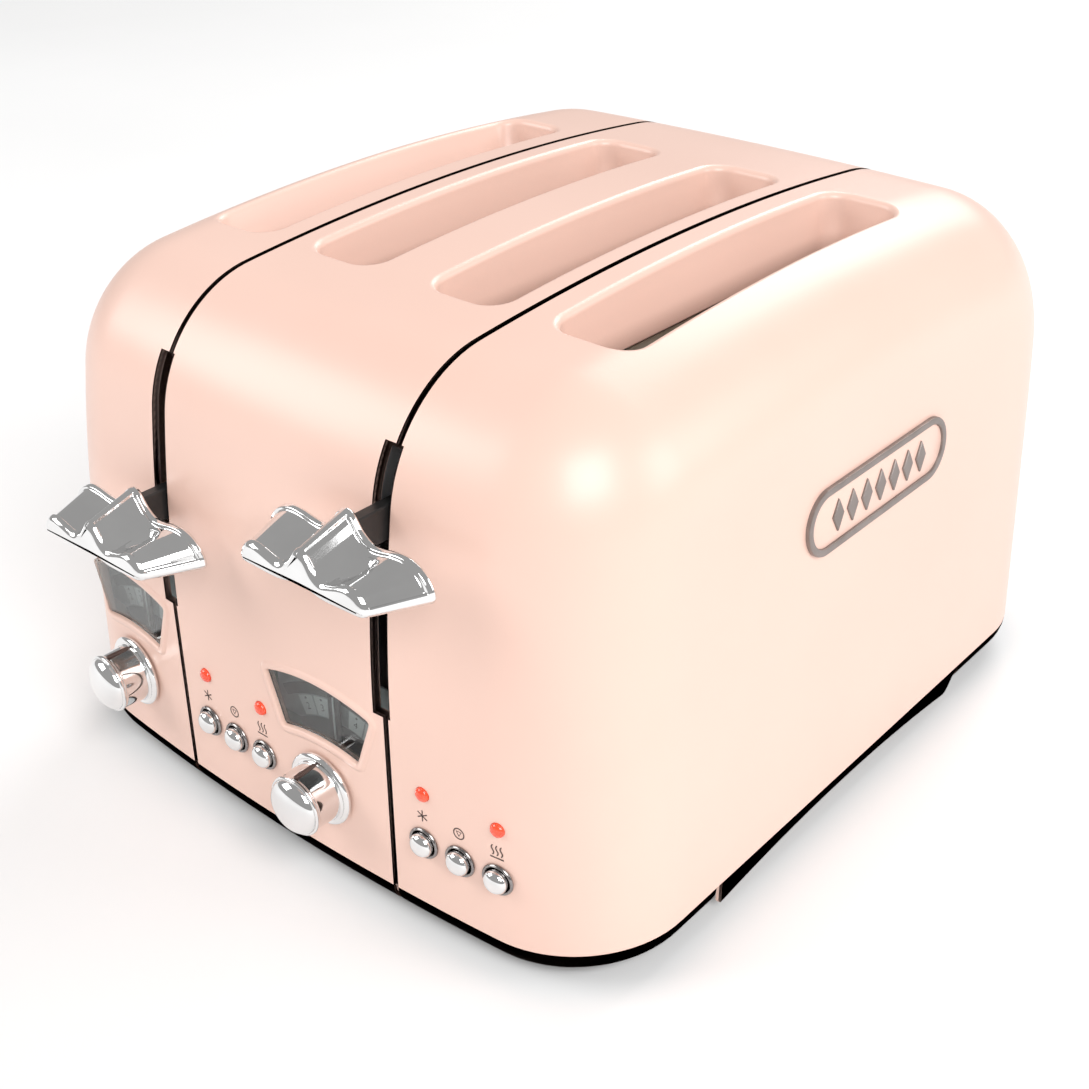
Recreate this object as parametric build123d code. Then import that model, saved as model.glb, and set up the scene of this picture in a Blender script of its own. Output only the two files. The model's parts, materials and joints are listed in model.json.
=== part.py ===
from build123d import *
import math
import os

# Four slot pop up toaster, in millimetres with +Z up. The controls face -Y and the bread slots run
# front to back. It is laid out from the middle of the body, then every piece is moved along Y, so that
# the origin is the middle of the overall footprint, levers and tray pulls included, on the worktop.

# ---- outer body ----
HALF_DEPTH = 167.5          # middle of the front face to the centre
HALF_WIDTH = 141.0          # side wall at the bottom to the centre
TOP = 210.0                 # highest line of the lid
BODY_BOTTOM = 3.0           # the body stands this far off the worktop on its feet
# each end wall: upright to this height, then leaning in on this radius, up to a shoulder of this radius
FRONT_WALL = (84.0, 567.0, 48.8)
BACK_WALL = (111.4, 527.0, 64.6)
SIDE_R = 41.0               # side shoulders and the upright corners
BOTTOM_R = 10.0             # turned-in lower edge
CROWN_R = 1100.0            # slight crown of the lid, front to back
CROWN_FLAT = 2.0            # level strip either side of the middle
BOW_R = 1041.0              # bow of the front and back walls, seen from above
SIDE_DRAFT = 0.059          # the side walls lean in by this much per unit of height
WALL = 2.4

# ---- seams between the three shells ----
SEAM = 54.0
SEAM_GAP = 1.2
SEAM_STRIP = 1.3            # thickness of the backing strip behind each seam

# ---- bread slots ----
SLOT_X = (-81.5, -28.5, 28.5, 81.5)
SLOT_HALF_W = 15.5
SLOT_FRONT = -98.0
SLOT_BACK = 70.0
SLOT_MID = (SLOT_FRONT + SLOT_BACK) / 2
SLOT_LEN = SLOT_BACK - SLOT_FRONT
SLOT_CORNER = 9.0
FUNNEL_DEPTH = 15.0         # moulded funnel below the lid's lowest rim
FUNNEL_TAPER = 9.0          # degrees
FUNNEL_WALL = 1.6

# ---- lift ----
LEVER_SLOT_X = (-5.0, 1.5)  # from the seam
LEVER_SLOT_Z = (87.0, 181.0)
STEM_X = -1.75              # stem's middle from the seam
STEM_W = 4.4
STEM_Z = 159.0              # stem's middle on the right lift, which stands at its upper rest
STEM_SPAN = (-7.7, 4.5)     # its lower and upper edges from there
LEFT_DROP = 30.0            # the left lift stands this much lower
RACK_ABOVE = -59.0          # bread rack's top edge from the stem's middle
ROD_Y = -132.0
ROD_R = 2.5
RUN_GAP = 0.05

# ---- chassis ----
FRONT_BULKHEAD = -108.0
BACK_BULKHEAD = 78.0
BULKHEAD_T = 1.0
CHASSIS_HALF_W = 112.0
CHASSIS_Z = (17.0, 184.0)
BRIDGE_T = 1.5
CARD_FROM_SLOT = 19.5       # heater card's plane from the slot's middle
GUARD_FROM_SLOT = 13.2
GUARD_WIRE_R = 0.8

# ---- front controls, from each seam ----
KNOB_X = -32.3
KNOB_Z = 42.5
KNOB_FLANGE_R = 14.3
SHAFT_R = 3.0
POINTER_R = 35.5
POINTER_W = 5.6
POINTER_IN = 8.0            # pointer behind the front face
SCALE_IN = 10.4             # printed scale behind the front face
WINDOW_Z = (60.8, 81.6)     # its lower and upper corners
WINDOW_HALF = (18.1, 25.1)
WINDOW_SAG = (2.4, 4.3)
WINDOW_LIP = 2.4
BUTTON_X = 14.4
BUTTON_PITCH = 15.4
BUTTON_Z = 41.6
BUTTON_R = 4.5
BEZEL_R = 6.1
LAMP_Z = 62.0
LAMP_R = 2.7

# ---- base ----
TRAY_X = (6.0, 102.0)       # crumb tray, near and far side from the middle
TRAY_Z = 9.0
SKIRT_Y = (-94.0, 72.0)      # the side walls run straight down here, to a shallow arch
SKIRT_X = 140.2
SKIRT_Z = (5.0, 10.0)       # the arch's ends and middle

# ---- worked out from the above ----
FUNNEL_TOP = TOP - 9.0      # the throat is straight down to here, below the lid's lowest rim
FUNNEL_END = FUNNEL_TOP - FUNNEL_DEPTH
FLOOR_HALF = (HALF_WIDTH - 15.0, HALF_DEPTH - 18.0)
TRAY_DOOR_Z = (TRAY_Z - 1.5, TRAY_Z + 10.5)
TRAY_BACK = 158.0           # inner face of the tray's end panel
PULL_BACK = 171.0           # rear edge of the tray's finger pull
BASE_T = 2.0
BOARD_Y = -146.5
BOARD_T = 1.6
BOARD_Z = (26.0, 75.0)
SWITCH_IN = 6.8             # switch strip behind the front face
ARM_Y = (-128.0, -119.0)
SPRING_Y = -123.5
DOWN_STROKE = 63.0
BEZEL_SLEEVE_R = BUTTON_R + 0.75
GLAND_R = 8.0
GLAND_Z = 38.0
GUARD_WIRES = 8
GUARD_PITCH = 20.0

# ---- badge, on the right wall ----
BADGE_Y, BADGE_Z = 3.8, 131.0
BADGE_LEN, BADGE_H = 96.0, 25.0

# ---- knob profile, above the front face ----
KNOB_GAP = 0.4
KNOB_BARREL_R = 11.4
KNOB_DOME_R = 10.8
KNOB_RIM = 13.5
KNOB_RISE = 5.6

# ---- lever: half outlines of its gull-wing section, from the ridge's peak outwards ----
LEVER_BACK, LEVER_FRONT = -173.5, -196.0
LEVER_PEAK = 168.2          # height of the right lever's ridge at the back
BACK_UPPER = [(36, -16.5), (33.6, -10.6), (27, -7.6), (20, -7.6), (11.5, -9.0), (5, -5.4), (0, 0)]
BACK_LOWER = [(34, -20.5), (26, -14.5), (13, -15.5), (0, -9.5)]
FRONT_UPPER = [(26.5, -16.5), (24.6, -12.6), (21.5, -11.4), (16, -12.6), (10, -13.9), (4, -11.0), (0, -6.3)]
FRONT_LOWER = [(24, -19.4), (17, -19.6), (10, -19.8), (0, -17.2)]

LEFT, RIGHT = -SEAM, SEAM
NAMES = {LEFT: "left", RIGHT: "right"}


def box(x0, x1, y0, y1, z0, z1):
    return Pos((x0 + x1) / 2, (y0 + y1) / 2, (z0 + z1) / 2) * Box(x1 - x0, y1 - y0, z1 - z0)


def rod(r, x, y, z0, z1):
    return Pos(x, y, (z0 + z1) / 2) * Cylinder(r, z1 - z0)


def rod_y(r, x, z, y0, y1):
    return Pos(x, (y0 + y1) / 2, z) * Rot(90, 0, 0) * Cylinder(r, y1 - y0)


def arc_about(centre, r, a0, a1):
    """Arc in the YZ plane about a centre, between two angles in degrees from +Y."""
    pts = [(0, centre[0] + r * math.cos(math.radians(a)), centre[1] + r * math.sin(math.radians(a)))
           for a in (a0, (a0 + a1) / 2, a1)]
    return ThreePointArc(*pts)


def tangent_centre(crown_c, crown_r, lean_c, lean_r, r):
    """Centre of the shoulder arc that lies inside both the crown and the lean arcs."""
    ra, rb = crown_r - r, lean_r - r
    dy, dz = lean_c[0] - crown_c[0], lean_c[1] - crown_c[1]
    d = math.hypot(dy, dz)
    a = (ra * ra - rb * rb + d * d) / (2 * d)
    h = math.sqrt(ra * ra - a * a)
    ends = [(crown_c[0] + (a * dy + side * h * dz) / d, crown_c[1] + (a * dz - side * h * dy) / d)
            for side in (1, -1)]
    return max(ends, key=lambda c: c[1])


def half_profile(inset, wall):
    """Closed face in the YZ plane: one wall at -Y, its shoulder and the lid past the middle."""
    upright, lean_r, shoulder_r = wall
    d, top, r = HALF_DEPTH - inset, TOP - inset, shoulder_r - inset
    crown_r, lean_r = CROWN_R - inset, lean_r - inset
    bottom = BODY_BOTTOM + inset
    crown_c = (-CROWN_FLAT, top - crown_r)
    lean_c = (-d + lean_r, upright)
    c = tangent_centre(crown_c, crown_r, lean_c, lean_r, r)
    a_lean = math.degrees(math.atan2(c[1] - lean_c[1], c[0] - lean_c[0]))
    a_crown = math.degrees(math.atan2(c[1] - crown_c[1], c[0] - crown_c[0]))
    lean = arc_about(lean_c, lean_r, 180, a_lean)
    shoulder = arc_about(c, r, a_lean, a_crown)
    crown = arc_about(crown_c, crown_r, a_crown, 90)
    lid = Line((0, -CROWN_FLAT, top), (0, CROWN_FLAT * 2, top))
    back = Line((0, CROWN_FLAT * 2, top), (0, CROWN_FLAT * 2, bottom))
    floor = Line((0, CROWN_FLAT * 2, bottom), (0, -d, bottom))
    rise = Line((0, -d, bottom), (0, -d, upright))
    return make_face(Wire([floor, rise, lean, shoulder, crown, lid, back]))


def bowed_half(inset, wall):
    """The front half of the body: its profile turned about a far upright axis."""
    axis_y = BOW_R - HALF_DEPTH
    turned = revolve(half_profile(inset, wall), axis=Axis((0, axis_y, 0), (0, 0, 1)), revolution_arc=26)
    turned = Pos(0, axis_y, 0) * Rot(0, 0, -13) * Pos(0, -axis_y, 0) * turned
    return turned & box(-200, 200, -200, 0, -5, 250)


def body_solid(inset):
    body = bowed_half(inset, FRONT_WALL) + Rot(0, 0, 180) * bowed_half(inset, BACK_WALL)
    low = HALF_WIDTH - inset + SIDE_DRAFT * 10
    high = HALF_WIDTH - inset - SIDE_DRAFT * 250
    slab = Plane.XZ * Polygon((-low, -10), (low, -10), (high, 250), (-high, 250), align=None)
    body &= extrude(slab, amount=200, both=True)
    for side in (-1, 1):
        wall = body.faces().sort_by(Axis.X)[0 if side < 0 else -1]
        edges = [e for e in wall.edges() if e.bounding_box().max.Z > BODY_BOTTOM + inset + 1]
        body = fillet(edges, SIDE_R - inset)
    floor = body.faces().sort_by(Axis.Z)[0]
    return fillet(floor.edges(), BOTTOM_R - inset)


def face_y(x):
    """Y of the front face at a place across it, below the lean."""
    return -HALF_DEPTH + BOW_R - math.sqrt(BOW_R ** 2 - x ** 2)


def on_face(x, z):
    """A frame on the front face: local +Z points straight out of it and local +Y is up."""
    tilt = math.degrees(math.asin(x / BOW_R))
    return Pos(x, face_y(x), z) * Rot(0, 0, tilt) * Rot(90, 0, 0)


def on_side(y, z):
    """A frame on the right side wall: local +Z points out of it and local +Y is along Y."""
    lean = math.degrees(math.atan(SIDE_DRAFT))
    return Pos(HALF_WIDTH - SIDE_DRAFT * z, y, z) * Rot(0, 90 - lean, 0)


def along(location, r, z0, z1):
    """A cylinder on a frame's own Z axis."""
    return location * Pos(0, 0, (z0 + z1) / 2) * Cylinder(r, z1 - z0)


def turned(location, points):
    """A solid turned about a frame's own Z axis from (radius, height) points."""
    outline = Polyline(*[(r, 0, z) for r, z in points], close=True)
    return location * revolve(make_face(outline), axis=Axis.Z)


# ---- shells ----

def window_face(grow):
    """The dial window about the knob's axis, with bowed upper and lower edges, grown by a margin."""
    low, high = WINDOW_Z[0] - KNOB_Z - grow, WINDOW_Z[1] - KNOB_Z + grow
    near, far = WINDOW_HALF[0] + grow, WINDOW_HALF[1] + grow
    upper = ThreePointArc((-far, high), (0, high + WINDOW_SAG[1]), (far, high))
    lower = ThreePointArc((near, low), (0, low + WINDOW_SAG[0]), (-near, low))
    face = make_face(Wire([upper, Line((far, high), (near, low)), lower, Line((-near, low), (-far, high))]))
    return fillet(face.vertices(), 1.2 + grow / 2)


def window_prism(seam, grow, z0, z1):
    """The window as a solid between two heights above the front face."""
    return on_face(seam + KNOB_X, KNOB_Z) * Pos(0, 0, z0) * extrude(window_face(grow), amount=z1 - z0)


def slot_prism(x, grow, z0, z1, taper=0.0):
    """A bread slot's outline, run downwards from z1 to z0."""
    face = RectangleRounded(2 * (SLOT_HALF_W + grow), SLOT_LEN + 2 * grow, SLOT_CORNER + grow)
    return Pos(x, SLOT_MID, z1) * Rot(180, 0, 0) * extrude(face, amount=z1 - z0, taper=taper)


def throat(x, grow, z0):
    """The room in a bread slot: straight through the lid, then tapered."""
    return slot_prism(x, grow, z0, FUNNEL_TOP, FUNNEL_TAPER) + slot_prism(x, grow, FUNNEL_TOP, TOP + 5)


def seam_band(seam, near, far):
    """Box between two distances from a seam, counted away from the middle shell."""
    side = 1 if seam > 0 else -1
    ends = sorted((seam + side * near, seam + side * far))
    return box(ends[0], ends[1], -200, 200, BODY_BOTTOM + BOTTOM_R + 2, 250)


def button_frames(seam):
    return [on_face(seam + BUTTON_X + k * BUTTON_PITCH, BUTTON_Z) for k in range(3)]


def lamp_frames(seam):
    return [on_face(seam + BUTTON_X + k * BUTTON_PITCH, LAMP_Z) for k in (0, 2)]


def side_skirt(side):
    """The straight lower stretch of a side wall, with its arched edge."""
    (y0, y1), (low, high) = SKIRT_Y, SKIRT_Z
    arch = ThreePointArc((0, y0, low), (0, (y0 + y1) / 2, high), (0, y1, low))
    top = BODY_BOTTOM + BOTTOM_R + 3
    sides = Polyline((0, y1, low), (0, y1, top), (0, y0, top), (0, y0, low))
    wall = extrude(make_face(Wire([arch, *sides.edges()])), amount=WALL, dir=(1, 0, 0))
    return Pos(SKIRT_X - WALL if side > 0 else -SKIRT_X, 0, 0) * wall


def seam_backing(seam, inner, deep):
    """The middle shell's strip behind a seam, and the step that carries it."""
    strip = body_solid(WALL + 0.2) - deep
    return (strip & seam_band(seam, -4, 4)) + ((inner - deep) & seam_band(seam, -4, -SEAM_GAP / 2))


def shells():
    outer, inner = body_solid(0), body_solid(WALL)
    deep = body_solid(WALL + 0.2 + SEAM_STRIP)
    skin = outer - inner
    floor = RectangleRounded(2 * FLOOR_HALF[0], 2 * FLOOR_HALF[1], 30)
    skin -= extrude(floor, amount=BODY_BOTTOM + 2 * WALL)
    for seam in (LEFT, RIGHT):
        skin -= box(seam - 50, seam + 50, 140, 200, *TRAY_DOOR_Z)
    edge = SEAM - SEAM_GAP / 2
    made = {
        "centre_shell": skin & box(-edge, edge, -200, 200, -5, 250),
        "left_shell": skin & box(-200, -edge - SEAM_GAP, -200, 200, -5, 250),
        "right_shell": skin & box(edge + SEAM_GAP, 200, -200, 200, -5, 250),
    }
    made["left_shell"] += side_skirt(-1)
    made["right_shell"] += side_skirt(1)
    for seam in (LEFT, RIGHT):
        made["centre_shell"] += seam_backing(seam, inner, deep)
    for x, home in zip(SLOT_X, ("left_shell", "centre_shell", "centre_shell", "right_shell")):
        made[home] += throat(x, FUNNEL_WALL, FUNNEL_END) & inner
        made[home] -= throat(x, 0, FUNNEL_END - 0.01)
    homes = ((LEFT, "left_shell", "centre_shell"), (RIGHT, "centre_shell", "right_shell"))
    for seam, dial_home, button_home in homes:
        made[dial_home] += window_prism(seam, WINDOW_LIP, -WALL, 0.7)
        made[dial_home] -= window_prism(seam, 0, -12, 5)
        made[dial_home] -= along(on_face(seam + KNOB_X, KNOB_Z), SHAFT_R + 0.6, -10, 10)
        for frame in button_frames(seam):
            made[button_home] -= along(frame, BEZEL_SLEEVE_R + 0.05, -10, 10)
        for frame in lamp_frames(seam):
            made[button_home] -= along(frame, LAMP_R + 0.05, -10, 10)
        slot = box(seam + LEVER_SLOT_X[0], seam + LEVER_SLOT_X[1], -200, -140, *LEVER_SLOT_Z)
        made["centre_shell"] -= slot
        made["left_shell" if seam < 0 else "right_shell"] -= slot
    made["centre_shell"] -= rod_y(GLAND_R, 0, GLAND_Z, 150, 180)
    return made


# ---- base ----

def base_tray():
    """Floor plate inside the shells' turned-in edge, with posts for the control boards."""
    gap = 0.4
    plate = RectangleRounded(2 * (FLOOR_HALF[0] - gap), 2 * (FLOOR_HALF[1] - gap), 30 - gap)
    base = Pos(0, 0, BODY_BOTTOM) * extrude(plate, amount=BASE_T)
    for seam in (LEFT, RIGHT):
        for x in (seam - 38, seam + 46):
            base += box(x - 2, x + 2, BOARD_Y, BOARD_Y + BOARD_T, BODY_BOTTOM, BOARD_Z[0])
        base -= rod(ROD_R, seam, ROD_Y, 0, BODY_BOTTOM + BASE_T)
    return base


def rubber_feet():
    foot = fillet(Cylinder(9, BODY_BOTTOM).edges().sort_by(Axis.Z)[0], 0.8)
    return Compound(children=[Pos(x, y, BODY_BOTTOM / 2) * foot for x in (-98, 98) for y in (-122, 122)])


def base_screws():
    made = []
    for x in (-112, 112):
        for y in (-118, 118):
            head = Pos(x, y, BODY_BOTTOM - 0.8) * Cylinder(3, 1.6)
            made.append(head - Pos(x, y, BODY_BOTTOM - 1.6) * Box(4, 0.8, 1))
    return Compound(children=made)


def cord_gland():
    """Blanked inlet bush on the back wall."""
    bush = rod_y(GLAND_R - 0.1, 0, GLAND_Z, HALF_DEPTH - 8, HALF_DEPTH + 2)
    bush += rod_y(GLAND_R + 2.5, 0, GLAND_Z, HALF_DEPTH + 0.1, HALF_DEPTH + 2.5)
    return bush - rod_y(3.5, 0, GLAND_Z, HALF_DEPTH - 3, HALF_DEPTH + 5)


def badge_plate():
    frame = on_side(BADGE_Y, BADGE_Z)
    plate = extrude(SlotOverall(BADGE_LEN - 5, BADGE_H - 5, rotation=90), amount=0.8)
    for k in range(-3, 4):
        mark = Pos(0, k * 9.5, 0.8) * extrude(Polygon((-6, 0), (0, -3.2), (6, 0), (0, 3.2)), amount=0.7)
        plate += mark
    return frame * Pos(0, 0, 0.1) * plate


def badge_ring():
    frame = on_side(BADGE_Y, BADGE_Z)
    ring = SlotOverall(BADGE_LEN, BADGE_H, rotation=90)
    ring -= SlotOverall(BADGE_LEN - 5, BADGE_H - 5, rotation=90)
    return frame * Pos(0, 0, 0.1) * extrude(ring, amount=1.7)


# ---- chassis ----

def bulkhead(y):
    """Sheet metal wall across the oven space, slit for the moving bread racks."""
    wall = box(-CHASSIS_HALF_W, CHASSIS_HALF_W, y, y + BULKHEAD_T, *CHASSIS_Z)
    for x0, x1 in ((-CHASSIS_HALF_W, -105), (-4, 4), (105, CHASSIS_HALF_W)):
        wall += box(x0, x1, y, y + BULKHEAD_T, BODY_BOTTOM + BASE_T, CHASSIS_Z[0])
    for x in SLOT_X:
        wall -= box(x - 3, x + 3, y - 2, y + 3, 24, 120)
    return wall


def bridge():
    """Shelf that ties the tops of the guide rods to the front bulkhead."""
    top, back = CHASSIS_Z[1], FRONT_BULKHEAD + BULKHEAD_T
    shelf = box(-CHASSIS_HALF_W, CHASSIS_HALF_W, -116, back, top, top + BRIDGE_T)
    shelf += box(-SEAM - 14, SEAM + 14, -140, -115, top, top + BRIDGE_T)
    for seam in (LEFT, RIGHT):
        shelf -= rod(ROD_R, seam, ROD_Y, 150, 200)
    return shelf


def heater_cards(x):
    """The pair of mica cards that face one slot, each with its folded bottom edge."""
    cards = []
    for side in (-1, 1):
        at = x + side * CARD_FROM_SLOT
        front = FRONT_BULKHEAD + BULKHEAD_T
        cards.append(box(at - 0.3, at + 0.3, front + 0.2, BACK_BULKHEAD - 0.2, 22, 181))
    return Compound(children=cards)


def bread_guards(x):
    """Wire fences that keep the bread off the cards on both sides of one slot."""
    fences = []
    for side in (-1, 1):
        at = x + side * GUARD_FROM_SLOT
        fence = rod_y(GUARD_WIRE_R, at, 24, FRONT_BULKHEAD + 1.2, BACK_BULKHEAD - 0.2)
        fence += rod_y(GUARD_WIRE_R, at, 181, FRONT_BULKHEAD + 1.2, BACK_BULKHEAD - 0.2)
        for k in range(GUARD_WIRES):
            y = SLOT_MID + (k - (GUARD_WIRES - 1) / 2) * GUARD_PITCH
            fence += rod(GUARD_WIRE_R * 0.9, at, y, 24, 181)
        fences.append(fence)
    return Compound(children=fences)


def guide_rods():
    top = CHASSIS_Z[1] + BRIDGE_T
    return Compound(children=[rod(ROD_R, seam, ROD_Y, BODY_BOTTOM, top) for seam in (LEFT, RIGHT)])


# ---- lifts ----

def stem_z(seam):
    return STEM_Z - (LEFT_DROP if seam < 0 else 0)


def bread_racks(seam):
    """Two racks, one under each slice, joined by the cross arm in front of the bulkhead."""
    top = stem_z(seam) + RACK_ABOVE
    slots = [x for x in SLOT_X if x * seam > 0]
    rack = box(min(slots) - 3, max(slots) + 3, ARM_Y[0], ARM_Y[1], top - 6, top - 1)
    for x in slots:
        rack += box(x - 1.2, x + 1.2, ARM_Y[0], BACK_BULKHEAD + 5, top - 6, top - 1)
        for k in range(5):
            y = SLOT_MID + (k - 2) * 32
            rack += box(x - 8, x + 8, y - 1, y + 1, top - 3, top)
    return rack - rod(ROD_R + 1, seam, ROD_Y, top - 10, top + 5)


def carriage(seam):
    """Block that runs on the guide rod, from the cross arm up to the lever's stem."""
    z = stem_z(seam)
    block = box(seam - 7, seam + 7, -141, ARM_Y[0], z + RACK_ABOVE - 6, z + 9)
    block -= box(seam - 8, seam + 8, -135.5, ARM_Y[0] + 1, z + RACK_ABOVE + 6, z - 12)
    return block - rod(ROD_R + RUN_GAP, seam, ROD_Y, 0, 250)


def lever_stem(seam):
    x, z = seam + STEM_X, stem_z(seam)
    return box(x - STEM_W / 2, x + STEM_W / 2, LEVER_BACK, -141, z + STEM_SPAN[0], z + STEM_SPAN[1])


def wing_face(y, upper, lower):
    """Cross-section of the lever at one depth: a gull-wing line above, a flatter one below."""
    left = [(-x, z) for x, z in upper]
    right = upper[::-1]
    under = lower + [(-x, z) for x, z in lower[::-1] if x > 0]
    lines = [Spline(*left), Spline(*right), Line(right[-1], under[0])]
    lines += [Spline(*under), Line(under[-1], left[0])]
    return Pos(0, y, 0) * Plane.XZ.location * make_face(Wire(lines))


def lever_wing(seam):
    back = wing_face(0, BACK_UPPER, BACK_LOWER)
    front = wing_face(LEVER_FRONT - LEVER_BACK, FRONT_UPPER, FRONT_LOWER)
    wing = loft([back, front], ruled=True)
    wing += box(-4, 4, LEVER_FRONT - LEVER_BACK + 3, 0, STEM_Z + STEM_SPAN[0] - LEVER_PEAK, -9)
    return Pos(seam + STEM_X, LEVER_BACK, stem_z(seam) - STEM_Z + LEVER_PEAK) * wing


def return_spring(seam):
    """Coil that pulls the lift up, hung from the bridge."""
    z0, z1 = stem_z(seam) + RACK_ABOVE - 1, CHASSIS_Z[1]
    turns = 12
    coil = Helix(pitch=(z1 - z0 - 2) / turns, height=z1 - z0 - 2, radius=3.2)
    start = Plane(origin=coil @ 0, z_dir=coil % 0)
    return Pos(seam - 14, SPRING_Y, z0 + 1) * sweep(start * Circle(0.6), path=coil)


def latch_magnet(seam):
    """Electromagnet under the cross arm, with its yoke."""
    x, top = seam + 14, STEM_Z + RACK_ABOVE - DOWN_STROKE - 7
    coil = rod(7, x, SPRING_Y, BODY_BOTTOM + BASE_T, top - 3)
    return coil + rod(3, x, SPRING_Y, top - 4, top) + box(x - 9, x + 9, SPRING_Y - 8, SPRING_Y + 8,
                                                            BODY_BOTTOM + BASE_T, BODY_BOTTOM + BASE_T + 3)


# ---- controls ----

def dome_points(r, z, rise):
    """Profile of a flattened dome, from its rim to just short of its top."""
    angles = [math.radians(a) for a in range(0, 90, 10)]
    return [(r * math.cos(a), z + rise * math.sin(a)) for a in angles]


def knob(seam):
    dome = dome_points(KNOB_DOME_R, KNOB_RIM, KNOB_RISE)
    points = [(0, KNOB_GAP), (KNOB_FLANGE_R, KNOB_GAP), (KNOB_FLANGE_R, 1.8), (KNOB_FLANGE_R - 0.9, 2.9),
              (KNOB_BARREL_R + 0.8, 3.3), (KNOB_BARREL_R, 4.6), (KNOB_BARREL_R - 0.4, KNOB_RIM - 0.6), *dome,
              (0, KNOB_RIM + KNOB_RISE)]
    frame = on_face(seam + KNOB_X, KNOB_Z)
    return turned(frame, points) + along(frame, SHAFT_R, -1, 1)


def dial_pointer(seam):
    """Pointer that swings over the scale, with its hub and the shaft that turns the control."""
    frame = on_face(seam + KNOB_X, KNOB_Z)
    bar = Pos(0, POINTER_R / 2, -POINTER_IN - 0.5) * Box(POINTER_W, POINTER_R, 1)
    hub = along(frame, 12, -POINTER_IN - 1, -POINTER_IN) + along(frame, 6, -SCALE_IN - 1.4, -POINTER_IN + 3)
    return frame * bar + hub + along(frame, SHAFT_R, -17, -1)


def dial_scale(seam):
    """Fixed printed plate behind the window."""
    plate = Pos(0, (WINDOW_Z[0] + WINDOW_Z[1]) / 2 - KNOB_Z, -SCALE_IN - 0.5) * Box(62, 31, 1)
    return on_face(seam + KNOB_X, KNOB_Z) * plate


def window_lens(seam):
    return window_prism(seam, -0.15, -2.2, -0.8)


def button_bezels(seam):
    rings = []
    for frame in button_frames(seam):
        ring = along(frame, BEZEL_R, 0.1, 1.3) + along(frame, BEZEL_SLEEVE_R, 0.2 - SWITCH_IN, 0.2)
        rings.append(ring - along(frame, BUTTON_R + 0.35, -10, 10))
    return Compound(children=rings)


def push_button(frame):
    dome = dome_points(BUTTON_R, 2.2, 2.6)
    return turned(frame, [(0, -4.4), (BUTTON_R, -4.4), *dome, (0, 4.8)])


def signal_lamp(frame):
    dome = dome_points(LAMP_R, 0.3, 1.5)
    return turned(frame, [(0, -5), (LAMP_R, -5), *dome, (0, 1.8)])


def switch_strip(seam):
    """Narrow circuit board held on the backs of the three button bezels."""
    strip = Pos(0, 0, -SWITCH_IN - 0.6) * Box(2 * BUTTON_PITCH + 14, 14, 1)
    return on_face(seam + BUTTON_X + BUTTON_PITCH, BUTTON_Z) * strip


def control_board(seam):
    """Circuit board behind the dial, on two posts of the base, with the control that the dial turns."""
    frame = on_face(seam + KNOB_X, KNOB_Z)
    deep = BOARD_Y + BOARD_T - face_y(seam + KNOB_X)
    board = box(seam - 44, seam + 50, BOARD_Y, BOARD_Y + BOARD_T, *BOARD_Z)
    board += along(frame, 6, -deep, -SCALE_IN - 2)
    return board - along(frame, SHAFT_R + RUN_GAP, -18, 0)


# ---- crumb trays ----

def crumb_tray(seam):
    side = 1 if seam > 0 else -1
    x0, x1 = sorted((side * TRAY_X[0], side * TRAY_X[1]))
    tray = box(x0, x1, -104, TRAY_BACK, TRAY_Z, TRAY_Z + 6) \
        - box(x0 + 1, x1 - 1, -103, TRAY_BACK - 1, TRAY_Z + 1, TRAY_Z + 10)
    panel = box(x0 - 1, x1 + 1, TRAY_BACK, TRAY_BACK + 2.5, TRAY_Z, TRAY_Z + 9)
    grip = fillet(box(seam - 16, seam + 16, TRAY_BACK + 2, PULL_BACK, TRAY_Z + 3, TRAY_Z + 6)
                  .edges().filter_by(Axis.Z).sort_by(Axis.Y)[2:], 4)
    return tray + panel + grip


def nodes():
    made = shells()
    made["base_tray"] = base_tray()
    made["rubber_feet"] = rubber_feet()
    made["base_screws"] = base_screws()
    made["cord_gland"] = cord_gland()
    made["badge_plate"] = badge_plate()
    made["badge_ring"] = badge_ring()
    made["front_bulkhead"] = bulkhead(FRONT_BULKHEAD)
    made["back_bulkhead"] = bulkhead(BACK_BULKHEAD)
    made["rod_bridge"] = bridge()
    made["guide_rods"] = guide_rods()
    for number, x in enumerate(SLOT_X, 1):
        made[f"heater_cards_{number}"] = heater_cards(x)
        made[f"bread_guards_{number}"] = bread_guards(x)
    makers = {"bread_racks": bread_racks, "carriage": carriage, "lever_stem": lever_stem,
              "lever_wing": lever_wing, "return_spring": return_spring, "latch_magnet": latch_magnet,
              "browning_knob": knob, "dial_pointer": dial_pointer, "dial_scale": dial_scale,
              "window_lens": window_lens, "button_bezels": button_bezels, "switch_strip": switch_strip,
              "control_board": control_board, "crumb_tray": crumb_tray}
    for seam, name in NAMES.items():
        for what, make in makers.items():
            made[f"{name}_{what}"] = make(seam)
        for what, frame in zip(("defrost", "cancel", "reheat"), button_frames(seam)):
            made[f"{name}_{what}_button"] = push_button(frame)
        for what, frame in zip(("defrost", "reheat"), lamp_frames(seam)):
            made[f"{name}_{what}_lamp"] = signal_lamp(frame)
    return made


os.makedirs("parts", exist_ok=True)
for node, solid in nodes().items():
    export_step(Pos(0, -(LEVER_FRONT + PULL_BACK) / 2, 0) * solid, f"parts/{node}.step")
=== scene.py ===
import json
import math

import bmesh
import bpy
import numpy as np
from mathutils import Matrix, Vector
from mathutils.geometry import delaunay_2d_cdt

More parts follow.
